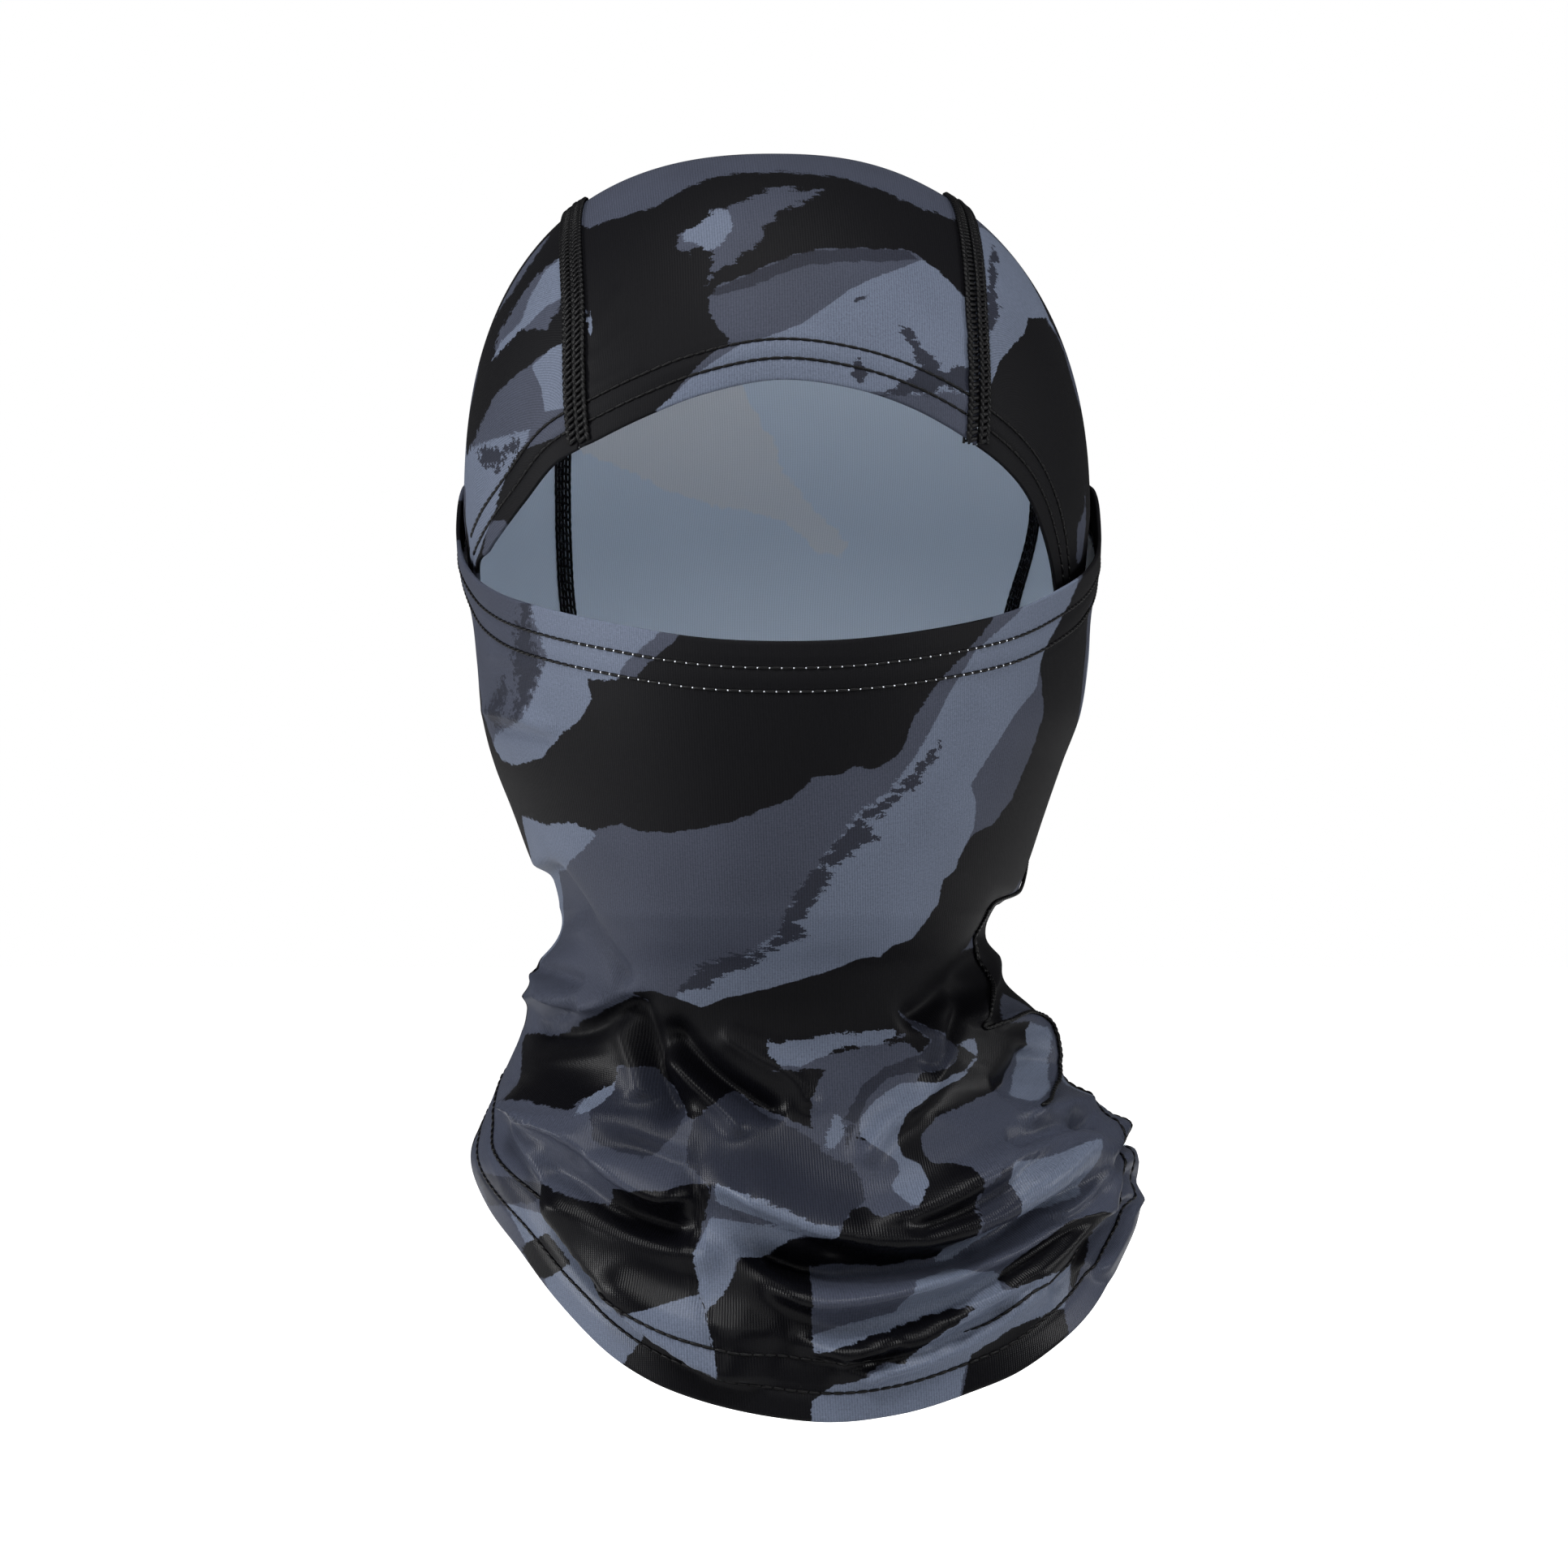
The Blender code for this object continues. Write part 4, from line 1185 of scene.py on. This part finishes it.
def main():
    add_camera()
    add_lights()
    hand_over_cloth(add_crown(), "crown", "crown_panel")
    for side in ("left", "right"):
        hand_over_cloth(add_side(side), "side", f"side_panel_{side}")
    hand_over_cloth(add_front(), "front", "mask", "bib", bends=True)
    for side, edge in SEAMS.items():
        line = even(edge, np.linspace(0, 1, 500))
        seam = merged(f"flatlock_{side}", flatlock(HOOD, line) + seam_net(HOOD, line))
        hand_over(seam, "thread", f"crown_seam_{side}")
    add_rows()
    add_seams()


def add_camera():
    data = bpy.data.cameras.new("camera")
    data.sensor_width = 36
    data.lens = CAMERA_LENS
    camera = bpy.data.objects.new("camera", data)
    camera.location = (EYE_X * MM, -SIGHT * MM, EYE_Z * MM)
    camera.rotation_euler = (math.pi / 2, 0, 0)
    bpy.context.scene.collection.objects.link(camera)
    bpy.context.scene.camera = camera


def area_light(name, place, size, power):
    data = bpy.data.lights.new(name, "AREA")
    data.shape = "SQUARE"
    data.size = size
    data.energy = power
    light = bpy.data.objects.new(name, data)
    light.location = place
    aim = Vector((0, 0, -0.03)) - Vector(place)
    light.rotation_euler = aim.to_track_quat("-Z", "Y").to_euler()
    bpy.context.scene.collection.objects.link(light)


# Each light's place in metres, its size in metres and its power in watts.
LIGHTS = {
    "key": ((-0.4, -1.1, 1.3), 0.35, 21), "fill": ((0.7, -1.2, 1.0), 0.4, 5),
    "front": ((0.0, -2.0, 0.7), 0.8, 8), "top": ((0.0, -0.5, 1.6), 0.6, 25),
    "left": ((-1.5, -0.3, 0.3), 0.5, 30), "right": ((1.5, -0.3, 0.4), 0.5, 18),
}
FLOOR_DROP = 0.07  # below the garment, in metres
FLOOR_REACH = 6  # metres from the middle to each side


def add_floor():
    """A pale floor that the camera sees as white."""
    mesh = bpy.data.meshes.new("floor")
    low = cad_box[0][2] - FLOOR_DROP
    corners = [(x * FLOOR_REACH, y * FLOOR_REACH, low) for x, y in ((-1, -1), (1, -1), (1, 1), (-1, 1))]
    mesh.from_pydata(corners, [], [(0, 1, 2, 3)])
    floor = placed("floor", mesh)
    nodes = Nodes("pale_floor")
    nodes.set({"Base Color": (0.86, 0.86, 0.86, 1), "Roughness": 0.9, "Specular IOR Level": 0.0})
    nodes.set({"Emission Color": (1, 1, 1, 1)})
    seen = nodes.add("ShaderNodeLightPath").outputs["Is Camera Ray"]
    nodes.link(nodes.math("MULTIPLY", seen, 0.95), "Emission Strength")
    mesh.materials.append(nodes.material)


def add_lights():
    world = bpy.data.worlds.new("studio")
    world.use_nodes = True
    tree = world.node_tree
    background = tree.nodes["Background"]
    background.inputs["Color"].default_value = (1, 1, 1, 1)
    path = tree.nodes.new("ShaderNodeLightPath")
    share = tree.nodes.new("ShaderNodeMapRange")
    share.inputs["To Min"].default_value = AMBIENT
    tree.links.new(path.outputs["Is Camera Ray"], share.inputs["Value"])
    tree.links.new(share.outputs["Result"], background.inputs["Strength"])
    bpy.context.scene.world = world
    bpy.context.scene.view_settings.view_transform = "Standard"
    for name, (place, size, power) in LIGHTS.items():
        area_light(name, place, size, power)
    add_floor()


main()
